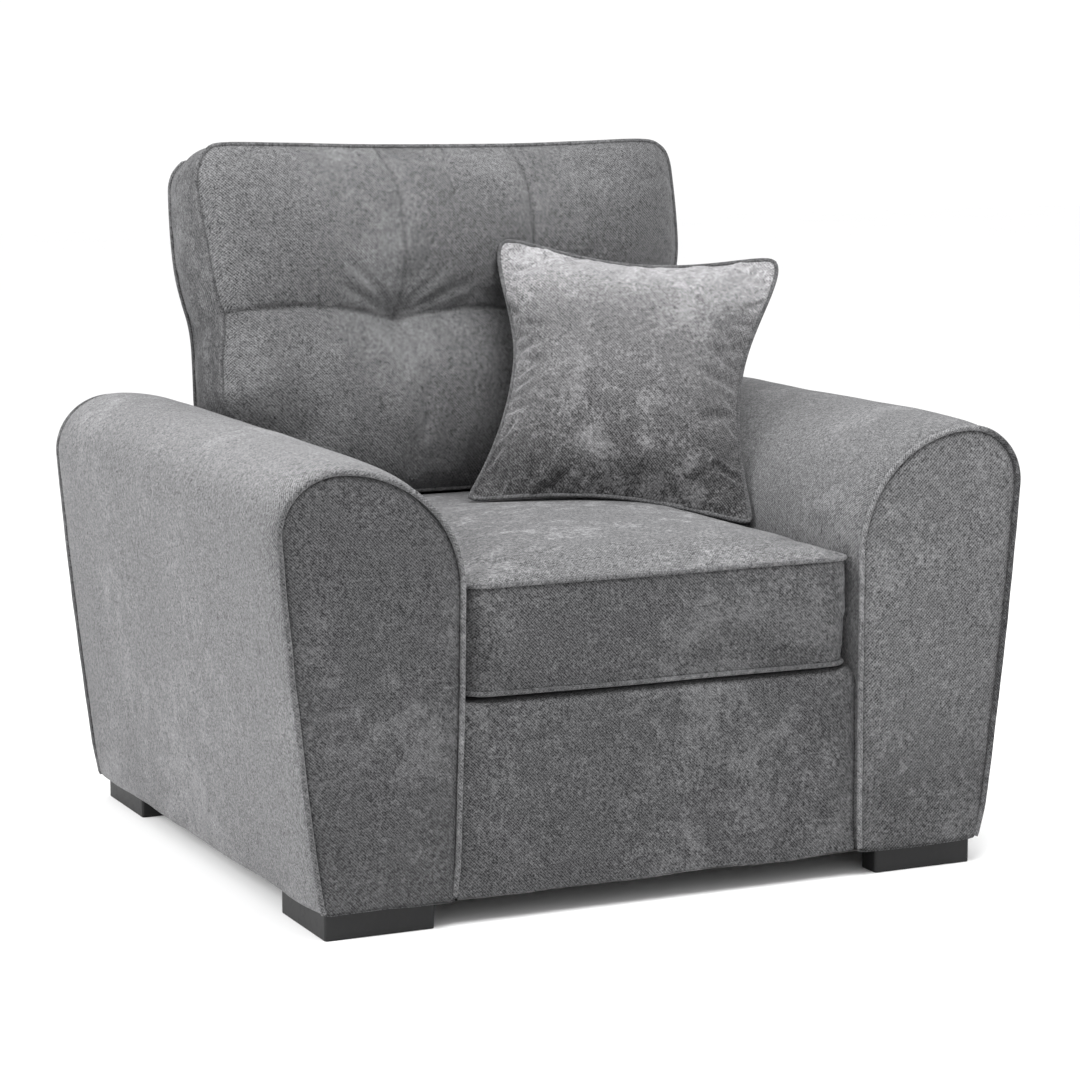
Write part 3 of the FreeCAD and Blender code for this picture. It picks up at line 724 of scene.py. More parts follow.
def border_panel(name, node, inset, material, slot_name):
    """Panel under the seat cushion, with a rolled top edge that drops at both ends."""
    half = border_high.x - inset
    across = spaced(-half, half, 0.007)
    top, bottom, front = border_high.z + 0.0025 - inset, ARM_BOTTOM + 0.001 + inset, border_low.y + inset
    corner, count = 0.035, 56
    grid = np.empty((len(across), count, 3))
    for i, x in enumerate(across):
        end = half - abs(x)
        drop = corner - math.sqrt(max(0.0, corner ** 2 - (corner - min(end, corner)) ** 2))
        roll = rounded_polygon([(front + 0.050, top - 0.001), (front + 0.019, top - 0.001),
                                (front, top - 0.32 * drop - 0.002), (front, bottom), (front + 0.03, bottom)],
                               [0.002, 0.010, 0.011, 0.006, 0.002])
        y, z = level_points(np.roll(roll, -8, 0)[:-9], count).T
        end = min(end, 0.2)
        full = 0.004 * (1 - math.exp(-end / 0.03)) - 0.003 * math.exp(-end / 0.006)
        rising = smooth_step(z, bottom, bottom + 0.04)
        here = np.stack([np.full(count, x), y, z], 1)
        lumps = 0.0018 * drift(here, 7, 9.0) + 0.0008 * drift(here, 22, 1.0)
        spread = drawn_in("right" if x > 0 else "left", z) + 0.0015
        grid[i, :, 0] = x * (1 + spread / half)
        grid[i, :, 1] = y - (full + lumps) * rising * (1 - smooth_step(z, top - 0.01, top))
        grid[i, :, 2] = z + hem_wave(here, 2.0) * (1 - rising) + 0.0008 * drift(here * (1, 0, 0), 9, 3.0)
    obj = grid_object(name, grid, material)
    # The "seam" attribute here is painted shade: it darkens the rolled top from just behind the front edge back,
    # where the gap under the seat cushion lies in shade. The whole border is also a little darker.
    set_attributes(obj, nap=-0.07, seam=smooth_step(points_of(obj)[:, 1], front + 0.006, front + 0.02))
    face_outward(obj, lambda f: -f.center.y, (0, -1, 0))
    fit(obj, slot_name, node)


border_panel("front_border_soft", "front_border_cover", 0.0, upholstery, "upholstery")
border_panel("front_border_padding", "front_border_pad", 0.009, inner_materials["foam"], "foam")


def upholstered_block(name, outline, low_x, high_x, puff, radius, material, slot_name, *nodes):
    """Closed cover over a frame: a remeshed block with soft edges and slightly full faces.
    The outline is a list of (y, z) points and runs across from the low x to the high x."""
    obj = ring_solid(name, [[(x, y, z) for y, z in outline] for x in (low_x, high_x)], material)
    remesh(obj, 0.005)
    modify(obj, "SMOOTH", factor=0.5, iterations=max(1, int(radius / 0.0025)))
    co, no = points_of(obj), normals_of(obj)
    flat = smooth_step(np.abs(no).max(1), 0.85, 0.99)
    set_points(obj, co + no * ((puff + 0.0012 * drift(co, 7, 11.0)) * flat)[:, None])
    shade(obj)
    box_uv(obj)
    fit(obj, slot_name, *nodes)
    return obj


def inside_back():
    """Cover over the front of the back frame, which leans behind the back cushion."""
    top_y = hood_low.y + (hood_high.z - hood_low.z) * slope
    outline = [(hood_low.y - 0.003 * slope, hood_low.z - 0.003), (top_y, hood_high.z),
               (hood_high.y, hood_high.z), (hood_high.y, hood_low.z - 0.003)]
    upholstered_block("back_inside_cover_soft", outline, hood_low.x - 0.0015, hood_high.x + 0.0015, 0.0015, 0.005,
                      upholstery, "upholstery", "back_inside_cover", "back_pad")


def deck():
    """Padded deck under the seat cushion: lining cloth, sewn across to hold the pad."""
    bottom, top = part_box("deck_pad")[0].z, deck_high.z - 0.001
    rear = max(deck_high.y, hood_low.y + 0.003)
    outline = [(deck_low.y, bottom), (deck_low.y, top), (rear, top), (rear, bottom)]
    obj = upholstered_block("deck_soft", outline, deck_low.x, deck_high.x, 0.0, 0.004,
                            inner_materials["lining_cloth"], "lining_cloth", "deck_cover", "deck_pad")
    co = points_of(obj)
    first_row, between_rows = deck_low.y + 0.09, 0.22
    rows = bell((co[:, 1] - first_row + between_rows / 2) % between_rows - between_rows / 2, 0.006)
    upper = smooth_step(co[:, 2], deck_high.z - 0.005, deck_high.z - 0.002)
    co[:, 2] -= (0.0028 * rows + 0.0006 + 0.0008 * drift(co, 9, 7.0)) * upper
    set_points(obj, co)


def dust_cover():
    """Thin cloth under the seat box, a little slack between its fixings."""
    low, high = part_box("dust_cover")
    x, y = np.meshgrid(spaced(low.x, high.x, 0.02), spaced(low.y, high.y, 0.02), indexing="ij")
    across, along = np.minimum(x - low.x, high.x - x), np.minimum(y - low.y, high.y - y)
    slack = sum((0.5 + 0.5 * np.cos(place * FULL_TURN / 0.09)) * np.exp(-edge / 0.02)
                for place, edge in ((x, along), (y, across)))
    z = high.z - 0.0004 - 0.0016 * slack - 0.0018 * (1 - np.exp(-np.minimum(across, along) / 0.06))
    obj = grid_object("dust_cover_soft", np.stack([x, y, z], 2), inner_materials["dust_cloth"], np.stack([x, y], 2))
    face_outward(obj, lambda f: f.area, (0, 0, -1))
    thicken(obj, 0.0008)
    fit(obj, "dust_cloth", "dust_cover")


def outside_back():
    """Panel tacked over the rear of the frame, with its edges turned in."""
    half, bottom, top = rear_high.x + 0.001, ARM_BOTTOM + 0.001, rear_high.z + 0.002
    folds = np.array([0.003, 0.006, 0.009])
    us = np.concatenate([[-half] * 3, spaced(-half, half, 0.008), [half] * 3])
    vs = np.concatenate([spaced(bottom, top, 0.008), [top] * 3])
    side_fold = np.concatenate([folds[::-1], np.zeros(len(us) - 6), folds])
    top_fold = np.concatenate([np.zeros(len(vs) - 3), folds])
    x, z = np.meshgrid(us, vs, indexing="ij")
    here = np.stack([x, np.full(x.shape, rear_high.y), z], 2).reshape(-1, 3)
    edge = np.minimum(np.minimum(half - np.abs(x), z - bottom), top - z)
    lumps = (0.0014 * drift(here, 6, 5.0) + 0.0006 * drift(here, 19, 2.0)).reshape(x.shape)
    rise = 0.003 * (1 - np.exp(-edge / 0.02)) - 0.003 * np.exp(-edge / 0.004) + lumps * smooth_step(edge, 0.0, 0.03)
    y = rear_high.y + rise - np.maximum(side_fold[:, None], top_fold)
    obj = grid_object("outside_back_soft", np.stack([x, y, z], 2), upholstery, np.stack([x, z], 2))
    face_outward(obj, lambda f: f.area * (f.center.y > rear_high.y - 0.001), (0, 1, 0))
    thicken(obj, 0.002)
    fit(obj, "upholstery", "outside_back_cover")


slope = math.tan(LEAN)
inside_back()
deck()
dust_cover()
outside_back()


# ---- feet ----

def foot(node):
    """Moulded corner block with softened edges, over the CAD foot's own outline."""
    low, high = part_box(node)
    corner_x, inner_edge = (high.x, low.x) if high.x > 0 else (low.x, high.x)
    corner_y, inner_end = (low.y, high.y) if low.y < 0 else (high.y, low.y)
    leg_x, leg_y = (0.037 * math.copysign(1, corner) for corner in (corner_x, corner_y))
    outline = rounded_polygon([(inner_edge, corner_y), (corner_x, corner_y), (corner_x, inner_end),
                               (corner_x - leg_x, inner_end), (corner_x - leg_x, corner_y - leg_y),
                               (inner_edge, corner_y - leg_y)], [0.004] * 6, 4)
    rings = [[(x, y, z) for x, y in outline] for z in (low.z, high.z)]
    obj = ring_solid(node + "_block", rings, inner_materials["feet"])
    modify(obj, "BEVEL", width=0.0014, segments=3, limit_method="ANGLE")
    shade(obj, False)
    fit(obj, "feet", node)


for node in ("foot_front_left", "foot_front_right", "foot_rear_left", "foot_rear_right"):
    foot(node)


# ---- cushions ----

def inflate(obj, held, pressure, frames, cap, growth):
    """Blows the cushion up as cloth a little larger than its shape, so it puckers along the seams.
    Points with a hold of 1 stay, and no point moves further than the cap."""
    before = points_of(obj)
    group = obj.vertex_groups.new(name="held")
    for i in np.nonzero(held > 0.02)[0]:
        group.add([int(i)], float(min(1.0, held[i])), "REPLACE")
    cloth = obj.modifiers.new("cloth", "CLOTH")
    set_values(cloth.settings, quality=5, mass=0.2, tension_stiffness=20, compression_stiffness=20, shear_stiffness=8,
               bending_stiffness=0.25, air_damping=2, shrink_min=-growth, vertex_group_mass="held",
               use_pressure=True, uniform_pressure_force=pressure)
    cloth.settings.effector_weights.gravity = 0
    cloth.collision_settings.use_collision = False
    for f in range(1, frames + 1):
        bpy.context.scene.frame_set(f)
    apply_modifier(obj, cloth)
    bpy.context.scene.frame_set(1)
    move = points_of(obj) - before
    limit = np.minimum(1.0, cap / np.maximum(np.linalg.norm(move, axis=1), 1e-9))
    set_points(obj, before + move * limit[:, None])


def way_to(points, path, step=400):
    """From each point to the nearest point of a path."""
    result = np.empty_like(points)
    for i in range(0, len(points), step):
        away = path[None] - points[i:i + step, None]
        nearest = (away ** 2).sum(2).argmin(1)
        result[i:i + step] = away[np.arange(len(nearest)), nearest]
    return result


def distance_to(points, *paths):
    """Distance from each point to the nearest of the paths."""
    return np.min([np.sqrt((way_to(points, path) ** 2).sum(1)) for path in paths], 0)


def sewn(points, path, reach):
    """Draws the points near a seam in towards it, as stitching does."""
    away = way_to(points, path)
    return points + away * (0.85 * bell(np.sqrt((away ** 2).sum(1)), reach))[:, None]


def evened(obj, amount, rounds):
    """Smooths a surface where the amount is above nothing."""
    edges = np.array([e.vertices[:] for e in obj.data.edges])
    co = points_of(obj)
    count = np.bincount(edges.ravel(), minlength=len(co))[:, None]
    for _ in range(rounds):
        total = np.zeros_like(co)
        np.add.at(total, edges[:, 0], co[edges[:, 1]])
        np.add.at(total, edges[:, 1], co[edges[:, 0]])
        co += (total / count - co) * (0.5 * amount)[:, None]
    set_points(obj, co)


def creases(x, z, lines, start_width, spread, bend=0.0):
    """Depth of creases, each from a point, at an angle, of a length and depth, with a ridge on each side."""
    depth = np.zeros(len(x))
    for px, pz, angle, length, amount in lines:
        ca, sa = math.cos(math.radians(angle)), math.sin(math.radians(angle))
        along = (x - px) * ca + (z - pz) * sa
        off = -(x - px) * sa + (z - pz) * ca + bend * along * along * math.copysign(1, ca)
        width = start_width + spread * np.clip(along, 0, length)
        fade = smooth_step(along, 0.0, 0.2 * length) * (1 - smooth_step(along, 0.45 * length, length))
        q = (off / width) ** 2
        depth += amount * fade * (1 - 1.4 * q) * np.exp(-q)
    return depth


def same_count(rings):
    """The rings with as many points as the longest one has."""
    count = max(len(r) for r in rings)
    return [points_at(np.vstack([ring, ring[:1]]), np.linspace(0, len(ring), count, False), np.arange(len(ring) + 1))
            for ring in rings]


def finish_cushion(obj, body, slot_name, fill, *nodes):
    shade(obj)
    if not obj.data.uv_layers:
        box_uv(obj)
    fit(obj, slot_name, *nodes, body=body)


def welt(name, path, body, nodes=(), nap=0.0, radius=CUSHION_WELT_RADIUS, slot_name="piping"):
    obj = tube_object(name, path, radius, piping_cloth)
    set_attributes(obj, nap=nap)
    fit(obj, slot_name, *nodes, body=body)


# Seat cushion: a firm box cushion with a full top

seat_half = seat_high.x
seat_top = seat_piping_high.z - 0.004
seat_bottom = seat_piping_low.z + 0.004


def seat_ring(inset, z, wave=0.0, corner=0.022):
    x, front, rear = seat_half - inset, seat_low.y + inset, seat_high.y - inset
    outline = rounded_polygon([(-x, front), (x, front), (x, rear), (-x, rear)], [corner] * 4)
    ring = resample(outline, 0.012, closed=True)
    ring = np.column_stack([ring, np.full(len(ring), z)])
    ring[:, 2] += wave * drift(ring, 4.2, 12.0)
    return ring


seat_rings = same_count([
    seat_ring(0.17, seat_bottom - 0.006, corner=0.03), seat_ring(0.03, seat_bottom - 0.004, corner=0.03),
    seat_ring(0, seat_bottom, corner=0.032), seat_ring(-0.001, (seat_bottom + seat_top) / 2),
    seat_ring(0, seat_top, corner=0.024), seat_ring(0.02, seat_top + 0.008), seat_ring(0.07, seat_top + 0.019),
    seat_ring(0.14, seat_top + 0.025), seat_ring(0.2, seat_top + 0.027)])
seat = ring_solid("seat_cushion_soft", seat_rings, upholstery)
remesh(seat, 0.0075)
top_path = resample(seat_ring(0, seat_top, 0.003, 0.024), 0.006, closed=True)
low_path = resample(seat_ring(0, seat_bottom, 0.003, 0.032), 0.006, closed=True)
co = points_of(seat)
hold = np.clip(1.25 - distance_to(co, top_path, low_path) / 0.008, 0, 1)
hold = np.maximum(hold, smooth_step(co[:, 1], seat_high.y - 0.1, seat_high.y - 0.05) * 0.4)
on_top = smooth_step(co[:, 2], seat_top - 0.004, seat_top + 0.004)
inflate(seat, hold, 4.0, 20, 0.006 + 0.006 * on_top, 0.012)
subdivide(seat)
co, no = points_of(seat), normals_of(seat)
seam_distance = distance_to(co, top_path, low_path)
co = sewn(sewn(co, top_path, 0.005), low_path, 0.005)
co[:, 2] -= 0.016 * smooth_step(co[:, 1], -0.10, 0.22) * smooth_step(co[:, 2], seat_top + 0.004, seat_top + 0.016)
co[:, 2] = np.maximum(co[:, 2], deck_high.z + 0.0005)
co[:, 0] = np.clip(co[:, 0], -inner_x + 0.001, inner_x - 0.001)
set_points(seat, co)
# Painted light: the top, which faces up, is lighter, and the front a little darker as painted shade. The "seam"
# attribute paints shade along the piping.
upward = smooth_step(no[:, 2], 0.5, 0.9)
set_attributes(seat, seam=0.35 * bell(seam_distance, 0.003), calm=-1.2 * upward,
               nap=0.17 * upward - 0.08 * smooth_step(-no[:, 1], 0.5, 0.9))
finish_cushion(seat, "seat_cushion", "upholstery", 0.8, "seat_cushion_cover", "seat_cushion_core")
# The top piping is lightened as painted light, like the top it edges.
welt("seat_cushion_top_piping", top_path, "seat_cushion", ["seat_cushion_piping"], nap=0.10)
welt("seat_cushion_low_piping", low_path, "seat_cushion")


# Back cushion: a softer box cushion, tufted in front, drawn upright and then leaned back

BACK_DEPTH = 0.128
BACK_FRONT_Y = 0.2355
BACK_BOTTOM_Z = 0.465
TUFTS = [(-0.091, 0.251), (0.124, 0.257)]
# The sewn lines through the tufts, as (x, z) across and (z, x) upright, and half outlines of the front and rear
ACROSS = [(-0.37, 0.266), (-0.35, 0.268), (-0.313, 0.273), (-0.248, 0.275), (-0.196, 0.272), (-0.145, 0.263),
    (-0.091, 0.251), (-0.046, 0.259), (0.015, 0.264), (0.07, 0.263), (0.124, 0.257), (0.17, 0.266), (0.23, 0.274),
    (0.3, 0.274), (0.37, 0.268)]
UPRIGHT_LEFT = [(0.11, -0.053), (0.167, -0.064), (0.217, -0.076), (0.251, -0.091), (0.33, -0.086), (0.395, -0.087),
    (0.443, -0.09), (0.482, -0.101), (0.51, -0.114)]
UPRIGHT_RIGHT = [(0.11, 0.096), (0.167, 0.104), (0.217, 0.113), (0.257, 0.124), (0.33, 0.12), (0.395, 0.121),
    (0.443, 0.119), (0.482, 0.11), (0.51, 0.098)]
FRONT_LOWER = [(0.262, 0), (0.276, 0.012), (0.277, 0.056), (0.3, 0.083), (0.319, 0.102), (0.336, 0.118),
    (0.35, 0.133)]
FRONT_LEFT = FRONT_LOWER + [(0.357, 0.15), (0.357, 0.18), (0.355, 0.212), (0.351, 0.244), (0.352, 0.27),
    (0.36, 0.296), (0.368, 0.339), (0.375, 0.39), (0.383, 0.45), (0.378, 0.482), (0.365, 0.5), (0.34, 0.508),
    (0.24, 0.506), (0.112, 0.502)]
FRONT_RIGHT = FRONT_LOWER + [(0.358, 0.15), (0.358, 0.18), (0.357, 0.212), (0.357, 0.244), (0.363, 0.27),
    (0.374, 0.296), (0.381, 0.339), (0.38, 0.39), (0.376, 0.44), (0.371, 0.475), (0.358, 0.495), (0.327, 0.504),
    (0.22, 0.502), (0.098, 0.5)]
REAR_SIDE = [(0.262, 0), (0.276, 0.012), (0.277, 0.052), (0.296, 0.083), (0.322, 0.094), (0.34, 0.103),
    (0.35, 0.115), (0.353, 0.135), (0.353, 0.162), (0.353, 0.195), (0.354, 0.228), (0.358, 0.256), (0.366, 0.286),
    (0.374, 0.325), (0.378, 0.374), (0.379, 0.428), (0.377, 0.459), (0.365, 0.48), (0.342, 0.489), (0.23, 0.488),
    (0.105, 0.487)]
SEAM_DEPTH = [(-0.36, 0.004), (-0.3, 0.007), (-0.2, 0.014), (-0.13, 0.026), (-0.091, 0.033), (-0.05, 0.03),
    (0.016, 0.03), (0.08, 0.031), (0.124, 0.033), (0.16, 0.026), (0.23, 0.014), (0.31, 0.007), (0.37, 0.004)]
# Creases from each tuft: angle, length and depth
LEFT_FOLDS = [(128, 0.17, 0.005), (146, 0.15, 0.006), (52, 0.14, 0.005), (30, 0.17, 0.006), (200, 0.08, 0.0026),
    (250, 0.07, 0.002), (330, 0.08, 0.0026)]
RIGHT_FOLDS = [(132, 0.13, 0.0046), (156, 0.15, 0.005), (48, 0.17, 0.0056), (28, 0.14, 0.0042), (215, 0.08, 0.0026),
    (320, 0.08, 0.0026)]
TUFT_CREASES = [(*tuft, *fold) for tuft, folds in zip(TUFTS, (LEFT_FOLDS, RIGHT_FOLDS)) for fold in folds]


def smooth_curve(points, spacing):
    """Even points on a smooth closed curve through the given ones."""
    points = np.array(points, float)
    result = []
    for a, b, c, d in zip(*(np.roll(points, shift, 0) for shift in (1, 0, -1, -2))):
        for t in np.linspace(0, 1, 10, False):
            result.append(0.5 * (2 * b + (c - a) * t + (2 * a - 5 * b + 4 * c - d) * t * t
                                 + (3 * b - a - 3 * c + d) * t ** 3))
    return resample(result, spacing, closed=True)


def back_outline(y, inset=0.0, spacing=0.01):
    """Outline of the back cushion at a depth: the front one at 0, the rear one at the full depth."""
    t = np.clip(y / BACK_DEPTH, 0, 1)
    right, left = (np.array(front) * (1 - t) + np.array(REAR_SIDE) * t for front in (FRONT_RIGHT, FRONT_LEFT))
    ring = smooth_curve(np.vstack([right, (left * (-1, 1))[::-1], [(-0.1, -0.002), (0.1, -0.002)]]), spacing)
    ring[:, 0] *= 1 - inset / 0.37
    ring[:, 1] = 0.25 + (ring[:, 1] - 0.25) * (1 - inset / 0.25)
    return np.column_stack([ring[:, 0], np.full(len(ring), y), ring[:, 1]])


def leaned(co):
    """From the cushion's own upright frame to its place on the seat."""
    turn = np.array(Matrix.Rotation(-LEAN, 3, "X"))
    return co @ turn.T + np.array([0, BACK_FRONT_Y, BACK_BOTTOM_Z])


def through(table, at):
    """Value at each place, from a table of (place, value) pairs."""
    return np.interp(at, *zip(*table))


def upright_seams(x, z, above, below, width):
    """Strength of the two sewn lines that run from each tuft up to the top, and on below it."""
    strength = np.zeros(len(x))
    for (_, tuft_z), seam in zip(TUFTS, (UPRIGHT_LEFT, UPRIGHT_RIGHT)):
        fade = np.where(z > tuft_z, above, below)
        strength = np.maximum(strength, fade * bell(x - through(seam, z), width))
    return strength


back_rings = same_count([back_outline(-0.014, 0.07), back_outline(-0.010, 0.03), back_outline(0),
                         back_outline(BACK_DEPTH / 2, -0.004), back_outline(BACK_DEPTH),
                         back_outline(BACK_DEPTH + 0.0015, 0.03)])
back = ring_solid("back_cushion_soft", back_rings, upholstery)
remesh(back, 0.0068)
front_path = back_outline(0, spacing=0.006)
rear_path = back_outline(BACK_DEPTH, spacing=0.006)
co, no = points_of(back), normals_of(back)
facing = smooth_step(-no[:, 1], 0.35, 0.8)
x, z = co[:, 0], co[:, 2]
full = 1 - np.exp(-distance_to(co, front_path) / 0.05)
over = z - through(ACROSS, x)
sunk = through(SEAM_DEPTH, x)
valley = sunk * np.exp(-(np.abs(over) / np.where(over > 0, 0.032, 0.028)) ** 1.3)
pull = np.exp(-(np.min([np.hypot(x - tx, z - tz) for tx, tz in TUFTS], 0) / 0.040) ** 1.2)
upright = upright_seams(x, z, 1.0, 0.4 * smooth_step(z, 0.05, 0.25), 0.022)
rise = (0.038 - valley) * full - 0.012 * pull - 0.0025 * upright * full
rise -= creases(x, z, TUFT_CREASES, 0.0045, 0.06, 0.9)
hold = np.clip(1.25 - distance_to(co, front_path, rear_path) / 0.008, 0, 1)
hold = np.maximum(hold, facing * np.clip(1.5 * pull - 0.5, 0, 1))
hold = np.maximum(hold, facing * 0.95 * bell(over, 0.006) * np.clip(sunk / 0.02, 0, 1))
hold = np.maximum(hold, 0.6 * smooth_step(no[:, 1], 0.6, 0.9))
co[:, 1] -= rise * facing
set_points(back, co)
inflate(back, hold, 3.0, 20, 0.010 - 0.007 * smooth_step(no[:, 2], 0.5, 0.8), 0.02)
subdivide(back)
co, no = points_of(back), normals_of(back)
front_edge = distance_to(co, front_path)
seam_distance = np.minimum(front_edge, distance_to(co, rear_path))
facing = smooth_step(-no[:, 1], 0.1, 0.5)
x, z = co[:, 0], co[:, 2]
inside = facing * smooth_step(front_edge, 0.0, 0.01)
line = bell(z - through(ACROSS, x), 0.0028) * inside
faint = upright_seams(x, z, 0.62, 0.40 * smooth_step(z, 0.12, 0.22), 0.0026) * inside
co -= no * (0.003 * line + 0.0022 * faint)[:, None]
co = sewn(sewn(co, front_path, 0.006), rear_path, 0.006)
# Lighter towards the left, and darker on the faces behind the front seam.
nap = 0.12 - 0.09 * smooth_step(x, -0.2, 0.1) - 0.20 * (1 - facing) * smooth_step(co[:, 1], -0.01, 0.01)
set_points(back, co)
box_uv(back)
co = leaned(co)
behind = hood_low.y + (co[:, 2] - hood_low.z) * slope - 0.0005
co[:, 1] = np.where(co[:, 2] > hood_high.z, co[:, 1], np.minimum(co[:, 1], behind))
set_points(back, co)
# Painted shade along the piped seams and the sewn lines through the tufts.
seam = np.clip(0.7 * bell(seam_distance, 0.0035) + 0.8 * line + faint, 0, 1)
set_attributes(back, seam=seam, nap=nap, calm=0.6 * facing)
finish_cushion(back, "back_cushion", "upholstery", 0.65, "back_cushion_cover", "back_cushion_filling")
welt("back_cushion_front_piping", leaned(front_path), "back_cushion", ["back_cushion_piping"])
welt("back_cushion_rear_piping", leaned(rear_path), "back_cushion")


# Scatter cushion: two squares sewn at the edge, blown up flat and then leaned on the arm

SCATTER_HALF = 0.208
SCATTER_HALF_WIDTH = 0.202
SCATTER_CENTRE = np.array([(scatter_low[k] + scatter_high[k]) / 2 for k in range(3)]) + (0, 0, 0.003)
SCATTER_TURN = [math.radians(a) for a in (-30.7, -30.6, 4.3)]
SAG = {"left": 0.044, "right": 0.038, "top": 0.030, "bottom": 0.022}
# Loose creases: x, z, angle, length and depth
SCATTER_FOLDS = [(0.17, 0.01, 148, 0.12, 0.004), (0.17, -0.01, 168, 0.09, 0.0034), (0.165, 0.045, 140, 0.1, 0.003),
    (0.17, -0.05, 200, 0.07, 0.003), (-0.165, 0.02, 20, 0.06, 0.003), (-0.162, 0.065, 340, 0.06, 0.0026),
    (-0.16, -0.02, 35, 0.05, 0.0024), (-0.17, 0.13, 320, 0.07, 0.003), (0.15, 0.15, 225, 0.07, 0.0024),
    (-0.1, -0.17, 75, 0.05, 0.002), (0.08, -0.17, 110, 0.06, 0.0024), (0.15, -0.12, 160, 0.05, 0.0024)]


def scatter_square(count=92):
    """Two layers of cloth joined round the edge: sides drawn in between the corners, thickest in the middle.
    Also gives the numbers of the points round the edge, in order."""
    line = np.sin(np.linspace(-1, 1, count) * 1.35) / math.sin(1.35)
    u, w = np.meshgrid(line, line, indexing="ij")
    power = np.where(w > 0, 13, 34)
    ease = 1 - np.abs(u * w) ** power / (2 * power + 1)
    xs = SCATTER_HALF_WIDTH * u * ease + (1 - w * w) ** np.where(w > 0, 2.2, 1.0) * SAG["left"] * (1 - u) / 2
    xs -= (1 - w * w) ** np.where(w > 0, 2.0, 1.2) * SAG["right"] * (1 + u) / 2
    xs -= 0.009 * ((1 - u) / 2) ** 2 * ((1 + w) / 2) ** 1.5
    zs = SCATTER_HALF * w * ease + (1 - u * u) ** 1.4 * (SAG["bottom"] * (1 - w) / 2 - SAG["top"] * (1 + w) / 2)
    flat = np.stack([xs, np.zeros_like(xs), zs], 2).reshape(-1, 3)
    thick = 0.067 * np.clip((1 - u * u) * (1 - w * w), 0, 1).ravel() ** 0.68
    thick = np.outer(thick + 0.0012 * drift(flat, 30, 3.0) * (thick > 0.004), (0, 1, 0))
    number = np.arange(count * count).reshape(count, count)
    loop = np.concatenate([number[:, 0], number[-1, 1:], number[-2::-1, -1], number[0, -2:0:-1]])
    inner = np.setdiff1d(number, loop)
    rear_number = number.ravel().copy()
    rear_number[inner] = number.size + np.arange(len(inner))
    faces = grid_faces(count, count)
    faces += [tuple(rear_number[list(reversed(face))].tolist()) for face in faces]
    obj = mesh_object("scatter_cushion_soft", np.vstack([flat - thick, (flat + thick)[inner]]), faces, scatter_cloth)
    outward(obj)
    return obj, loop


def placed(points):
    """From the scatter cushion's own upright frame to where it leans."""
    turn = Matrix.Rotation(SCATTER_TURN[0], 3, "Z") @ Matrix.Rotation(SCATTER_TURN[1], 3, "X")
    turn = np.array(turn @ Matrix.Rotation(SCATTER_TURN[2], 3, "Y"))
    return points @ turn.T + SCATTER_CENTRE


def rim_puckers(path):
    """Short creases that run in from the seam all the way round, at uneven distances."""
    lines = []
    middle = path.mean(0)
    for k in range(4, len(path), 7):
        wobble = math.sin(12.9 * k) * 43758.5
        wobble -= math.floor(wobble)
        px, _, pz = path[(k + int(4 * wobble)) % len(path)]
        inwards = math.degrees(math.atan2(middle[2] - pz, middle[0] - px))
        lines.append((px, pz, inwards + 70 * (wobble - 0.5), 0.035 + 0.03 * wobble, 0.0020 + 0.0016 * wobble))
    return lines


scatter, scatter_rim = scatter_square()
rim_path = resample(points_of(scatter)[scatter_rim], 0.006, closed=True)
co, no = points_of(scatter), normals_of(scatter)
depth = creases(co[:, 0], co[:, 2], rim_puckers(rim_path), 0.0062, 0.06)
depth += creases(co[:, 0], co[:, 2], SCATTER_FOLDS, 0.0068, 0.07, 1.0)
depth *= smooth_step(-co[:, 1], 0.0, 0.01)
set_points(scatter, co - no * (0.6 * depth)[:, None])
hold = np.zeros(len(co))
hold[scatter_rim] = 1
rim_distance = distance_to(co, rim_path)
inflate(scatter, hold, 3.0, 26, 0.003 + 0.008 * bell(rim_distance, 0.06), 0.03)
evened(scatter, smooth_step(rim_distance, 0.05, 0.10), 40)
set_points(scatter, points_of(scatter) - normals_of(scatter) * (0.7 * depth)[:, None])
subdivide(scatter)
co = points_of(scatter)
upper = co[:, 2] / SCATTER_HALF
box_uv(scatter)
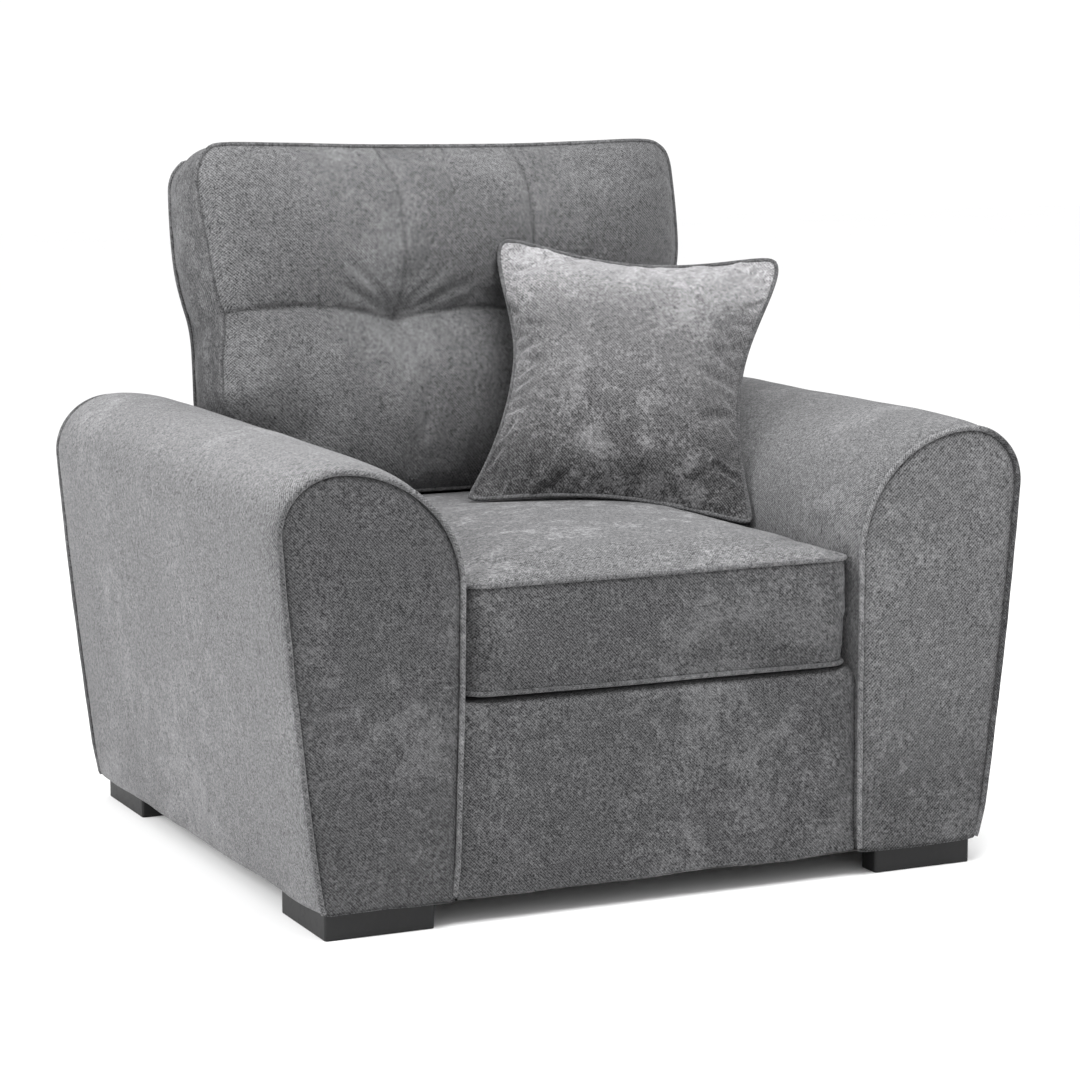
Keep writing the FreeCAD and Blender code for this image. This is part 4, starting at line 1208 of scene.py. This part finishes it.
# Painted light: the upper part of the cushion lighter, the lower part darker as painted shade. The "seam" attribute
# paints shade along the piped edge.
set_attributes(scatter, nap=0.50 * smooth_step(upper, 0.25, 1.0) - 0.18 * smooth_step(-upper, -0.1, 0.9),
               seam=0.8 * bell(distance_to(co, rim_path), 0.003))
set_points(scatter, placed(sewn(co, rim_path, 0.006)))
finish_cushion(scatter, "scatter_cushion", "scatter_fabric", 0.55, "scatter_cushion_cover", "scatter_cushion_filling")
welt("scatter_cushion_edge_piping", placed(rim_path), "scatter_cushion", ["scatter_cushion_piping"],
     radius=SCATTER_WELT_RADIUS, slot_name="scatter_fabric")


# ---- floor, light and camera ----

def stage_floor(size=14.0):
    n = Nodes("floor")
    colour = n.mix(n.noise(3, 2), (0.94, 0.94, 0.94), (0.96, 0.96, 0.96))
    corners = [(-size, -size, 0), (size, -size, 0), (size, size, 0), (-size, size, 0)]
    mesh_object("floor", corners, [(0, 1, 2, 3)], n.finish(colour, 0.9))


def area_light(name, place, aim, size, energy):
    light = bpy.data.lights.new(name, "AREA")
    set_values(light, shape="RECTANGLE", size=size, size_y=size, energy=energy)
    way = Vector(aim) - Vector(place)
    set_values(add_object(name, light), location=place, rotation_euler=way.to_track_quat("-Z", "Y").to_euler())


stage_floor()
world = bpy.data.worlds.new("studio")
world.use_nodes = True
world.node_tree.nodes["Background"].inputs["Color"].default_value = (1, 1, 1, 1)
world.node_tree.nodes["Background"].inputs["Strength"].default_value = 1.05
bpy.context.scene.world = world
centre = (0.0, 0.0, 0.45)
area_light("key_left", (-3.4, 0.2, 1.9), centre, 2.4, 125)
area_light("over_front", (0.05, -1.05, 2.05), (0.0, 0.15, 0.65), 1.1, 44)
area_light("top", (0.2, 0.6, 3.4), centre, 2.2, 30)
bpy.context.scene.view_settings.view_transform = "Standard"

camera = bpy.data.cameras.new("camera")
set_values(camera, lens=108.6, sensor_width=36, clip_end=60)
camera_obj = add_object("camera", camera)
camera_obj.location = (-1.9176, -4.1425, 1.1282)
camera_obj.rotation_euler = (math.radians(90 - 8.846), 0, math.radians(-25.174))
bpy.context.scene.camera = camera_obj
